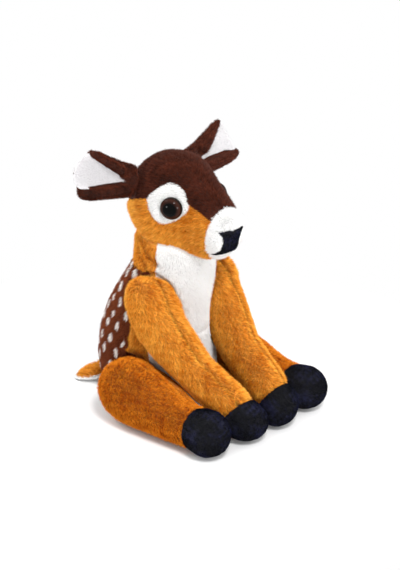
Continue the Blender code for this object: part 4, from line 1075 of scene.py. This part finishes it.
def leg(limb, word, hinge, hoof, seed, dye, seam_depth, **shape):
    """A stuffed leg with its two panels and its hoof, whose pile is brushed down to the hoof."""
    to_the_hoof = brushed((Vector(hoof) - Vector(hinge)).normalized())
    outer, inner, cap = (f"{limb}_{part}_{word}" for part in ("outer_panel", "inner_panel", "hoof"))
    depths = {outer: CLOTH_DEPTH, inner: CLOTH_DEPTH, cap: HOOF_CLOTH_DEPTH}
    form = stuffed(f"{limb}_{word}", [outer, inner, cap], depths, to_the_hoof,
                   grid=0.0017, cap=0.0014, seam_depth=seam_depth, **shape)
    cloth_form(f"{limb}_form_{word}", form, {outer: dye, inner: dye, cap: velvet_dye_and_sheen}, 0.85,
               "orange_plush", f"{limb}_filling_{word}")
    for index, panel in enumerate((outer, inner)):
        pile(panel.replace("panel", "pile"), form, panel, orange_plush, dye, seed + index)
    pile(cap + "_pile", form, cap, black_velvet, velvet_dye_and_sheen, seed + 2, Length=0.0014,
         Width=0.00024, Density=2.6e6, Lean=0.7, Tufts=0.5, **{"Tuft Scale": 230.0})


def outside_seam(points):
    """How far points lie to the outer side of the seam down the front of a leg."""
    return np.abs(points[:, 0]) - np.interp(points[:, 2], SEAM_HEIGHTS, SEAM_APART)


def with_front_seam(points, normal, gaps):
    """The outer and the inner panel meet along the front seam."""
    away = outside_seam(points)
    either = np.minimum(gaps[0], gaps[1])
    return np.stack([either + np.maximum(0.0, -away), either + np.maximum(0.0, away), gaps[2]])


def seam_shaded_dye(points):
    """Painted shade along the front seam: the dye is darker in a thin line there."""
    shade = SEAM_SHADE * np.exp(-(outside_seam(points) / SEAM_SHADE_WIDTH) ** 2)
    return orange_dye(points) * (1 - shade)[:, None]


for side, word in SIDES:
    hinge, hoof, start, end = on_side(side, (FRONT_HINGE, FRONT_HOOF, BEND_START, BEND_END))
    leg("front_leg", word, hinge, hoof, 50 + side * 3, seam_shaded_dye, 0.0024,
        bend=("torso", "front_leg_" + word, start, end), against=torso, parted=with_front_seam,
        eggs=[egg_on(side, *egg) for egg in LEG_EGGS])

# Hind legs
# Fatter legs that lie forward on the floor on both sides of the front ones, made the same way of a
# deeper orange, with round black hooves that show their soles.
HIND_HINGE, HIND_HOOF = (0.060, -0.018, 0.0305), (0.066, -0.1265, 0.0211)
# Three soft folds on top of the thigh and the dent that the front leg presses into it.
HIND_FOLDS = (
    (((0.0440, -0.0560, 0.0560), (0.0561, -0.0498, 0.0560), (0.0680, -0.0470, 0.0560)),
     0.0022, 0.0032),
    (((0.0600, -0.0300, 0.0600), (0.0700, -0.0330, 0.0550), (0.0790, -0.0330, 0.0480)),
     0.0014, 0.0030),
    (((0.0560, -0.0700, 0.0530), (0.0680, -0.0650, 0.0520)), 0.0012, 0.0030),
    (((0.0430, -0.0400, 0.0540), (0.0465, -0.0530, 0.0515), (0.0510, -0.0690, 0.0485),
      (0.0545, -0.0860, 0.0445), (0.0575, -0.0980, 0.0410)), 0.0042, 0.0060))


def rust_dye(points):
    """The hind legs' orange, deeper and redder than the rest."""
    return orange_dye(points) * np.array([0.76, 0.56, 0.28])


# The hind legs' dye gets painted shade along their folds and in the dent.
for side, word in SIDES:
    creases = creases_on(side, HIND_FOLDS)
    leg("hind_leg", word, *on_side(side, (HIND_HINGE, HIND_HOOF)), 70 + side * 3,
        fold_shaded_dye(rust_dye, creases), 0.0004, creases=creases)

# Tail
# Two leaves of plush, orange above and white below, joined at the edge and laid on the floor to
# the deer's right.
TAIL_PANELS, tail_dyes = ["tail_top", "tail_underside"], (orange_dye, white_dye)
tail = stuffed("tail", TAIL_PANELS, dict(zip(TAIL_PANELS, (0.0018, 0.0016))),
               brushed((-0.77, 0.60, -0.2)), grid=0.0013, cap=0, seam_depth=0.0003)
cloth_form("tail_form", tail, dict(zip(TAIL_PANELS, tail_dyes)), 0.4, "orange_plush")
pile("tail_top_pile", tail, "tail_top", orange_plush, tail_dyes, 91, Length=0.0050)
pile("tail_underside_pile", tail, "tail_underside", white_plush, tail_dyes, 92,
     Length=0.0070, Lean=0.7)

# Studio
# A white sweep under an even white world, a soft key lamp high in front, and weaker lamps on the
# far side, low in front, beside and behind the deer.
FLOOR_REACH = 6.0
SHADOW_KEPT, SHADOW_GONE = 0.16, 0.36  # the floor fades into the white background between these
LAMP_AIM = (0.0, -0.04, 0.1)
# Each lamp's name, place, power in watts and width.
LAMPS = (("key", (-0.7, -1.1, 1.5), 24.0, 0.42), ("fill", (1.2, -0.9, 0.8), 6.0, 0.8),
         ("front", (-0.25, -1.25, 0.30), 5.6, 0.30), ("side", (-1.15, 0.10, 0.30), 2.6, 0.18),
         ("rim", (-0.6, 1.0, 1.1), 7.0, 0.8))
FOCAL_PIXELS, PHOTO_HEIGHT, SENSOR = 1333, 570, 36.0
CAMERA_AIM, CAMERA_AWAY = (0.0, -0.056, 0.122), 1.20
CAMERA_TURN, CAMERA_LIFT = math.radians(-47.0), math.radians(20.0)


def seen_directly(tree):
    """One for camera, glossy and transmission rays, nought for the light that falls on things."""
    rays = placed(tree, "ShaderNodeLightPath")
    either = calculated(tree, "MAXIMUM", rays["Is Camera Ray"], rays["Is Glossy Ray"])
    return calculated(tree, "MAXIMUM", either, rays["Is Transmission Ray"])


def mixed(tree, share, first, second, end):
    """Mix two shaders into the output of a material or the world."""
    mix = placed(tree, "ShaderNodeMixShader", {
        "Fac": share, 1: first.outputs[0], 2: second.outputs[0]})
    tree.links.new(mix[0], tree.nodes[end].inputs["Surface"])


floor_mesh = bpy.data.meshes.new("studio_floor")
floor_mesh.from_pydata([(x * FLOOR_REACH, y * FLOOR_REACH, 0.0)
                        for x, y in ((-1, -1), (1, -1), (1, 1), (-1, 1))], [], [(0, 1, 2, 3)])
floor = in_scene("studio_floor", floor_mesh)
sweep, sweep_tree = new_material("white_sweep", {
    "Roughness": 0.9, "Specular IOR Level": 0.0, "Base Color": (0.9, 0.9, 0.9, 1)})
from_middle = placed(sweep_tree, "ShaderNodeTexCoord")["Object"]
away = placed(sweep_tree, "ShaderNodeVectorMath", {0: from_middle}, operation="LENGTH")
fade = placed(sweep_tree, "ShaderNodeMapRange", {
    "Value": away["Value"], "From Min": SHADOW_KEPT, "From Max": SHADOW_GONE})
clean = calculated(sweep_tree, "MULTIPLY", seen_directly(sweep_tree), fade["Result"])
mixed(sweep_tree, clean, sweep_tree.nodes["Principled BSDF"],
      sweep_tree.nodes.new("ShaderNodeEmission"), "Material Output")
floor_mesh.materials.append(sweep)
floor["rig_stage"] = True

world = bpy.data.worlds.new("studio")
world.use_nodes = True
bpy.context.scene.world = world
room = world.node_tree.nodes["Background"]
white = world.node_tree.nodes.new("ShaderNodeBackground")
for background, strength in ((room, 0.80), (white, 1.0)):
    background.inputs["Color"].default_value = (1, 1, 1, 1)
    background.inputs["Strength"].default_value = strength
mixed(world.node_tree, seen_directly(world.node_tree), room, white, "World Output")

for name, place, power, width in LAMPS:
    light = bpy.data.lights.new(name, "AREA")
    light.energy, light.size = power, width
    lamp = in_scene(name, light)
    lamp.location = place
    lamp.rotation_euler = (Vector(LAMP_AIM) - Vector(place)).to_track_quat("-Z", "Y").to_euler()

camera_data = bpy.data.cameras.new("camera")
camera_data.sensor_width = SENSOR
camera_data.lens = FOCAL_PIXELS / PHOTO_HEIGHT * SENSOR
camera = in_scene("camera", camera_data)
towards = Vector((math.sin(CAMERA_TURN) * math.cos(CAMERA_LIFT),
                  -math.cos(CAMERA_TURN) * math.cos(CAMERA_LIFT), math.sin(CAMERA_LIFT)))
camera.location = Vector(CAMERA_AIM) + towards * CAMERA_AWAY
camera.rotation_euler = (-towards).to_track_quat("-Z", "Y").to_euler()
bpy.context.scene.camera = camera
bpy.context.scene.view_settings.view_transform = "Standard"

low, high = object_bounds()
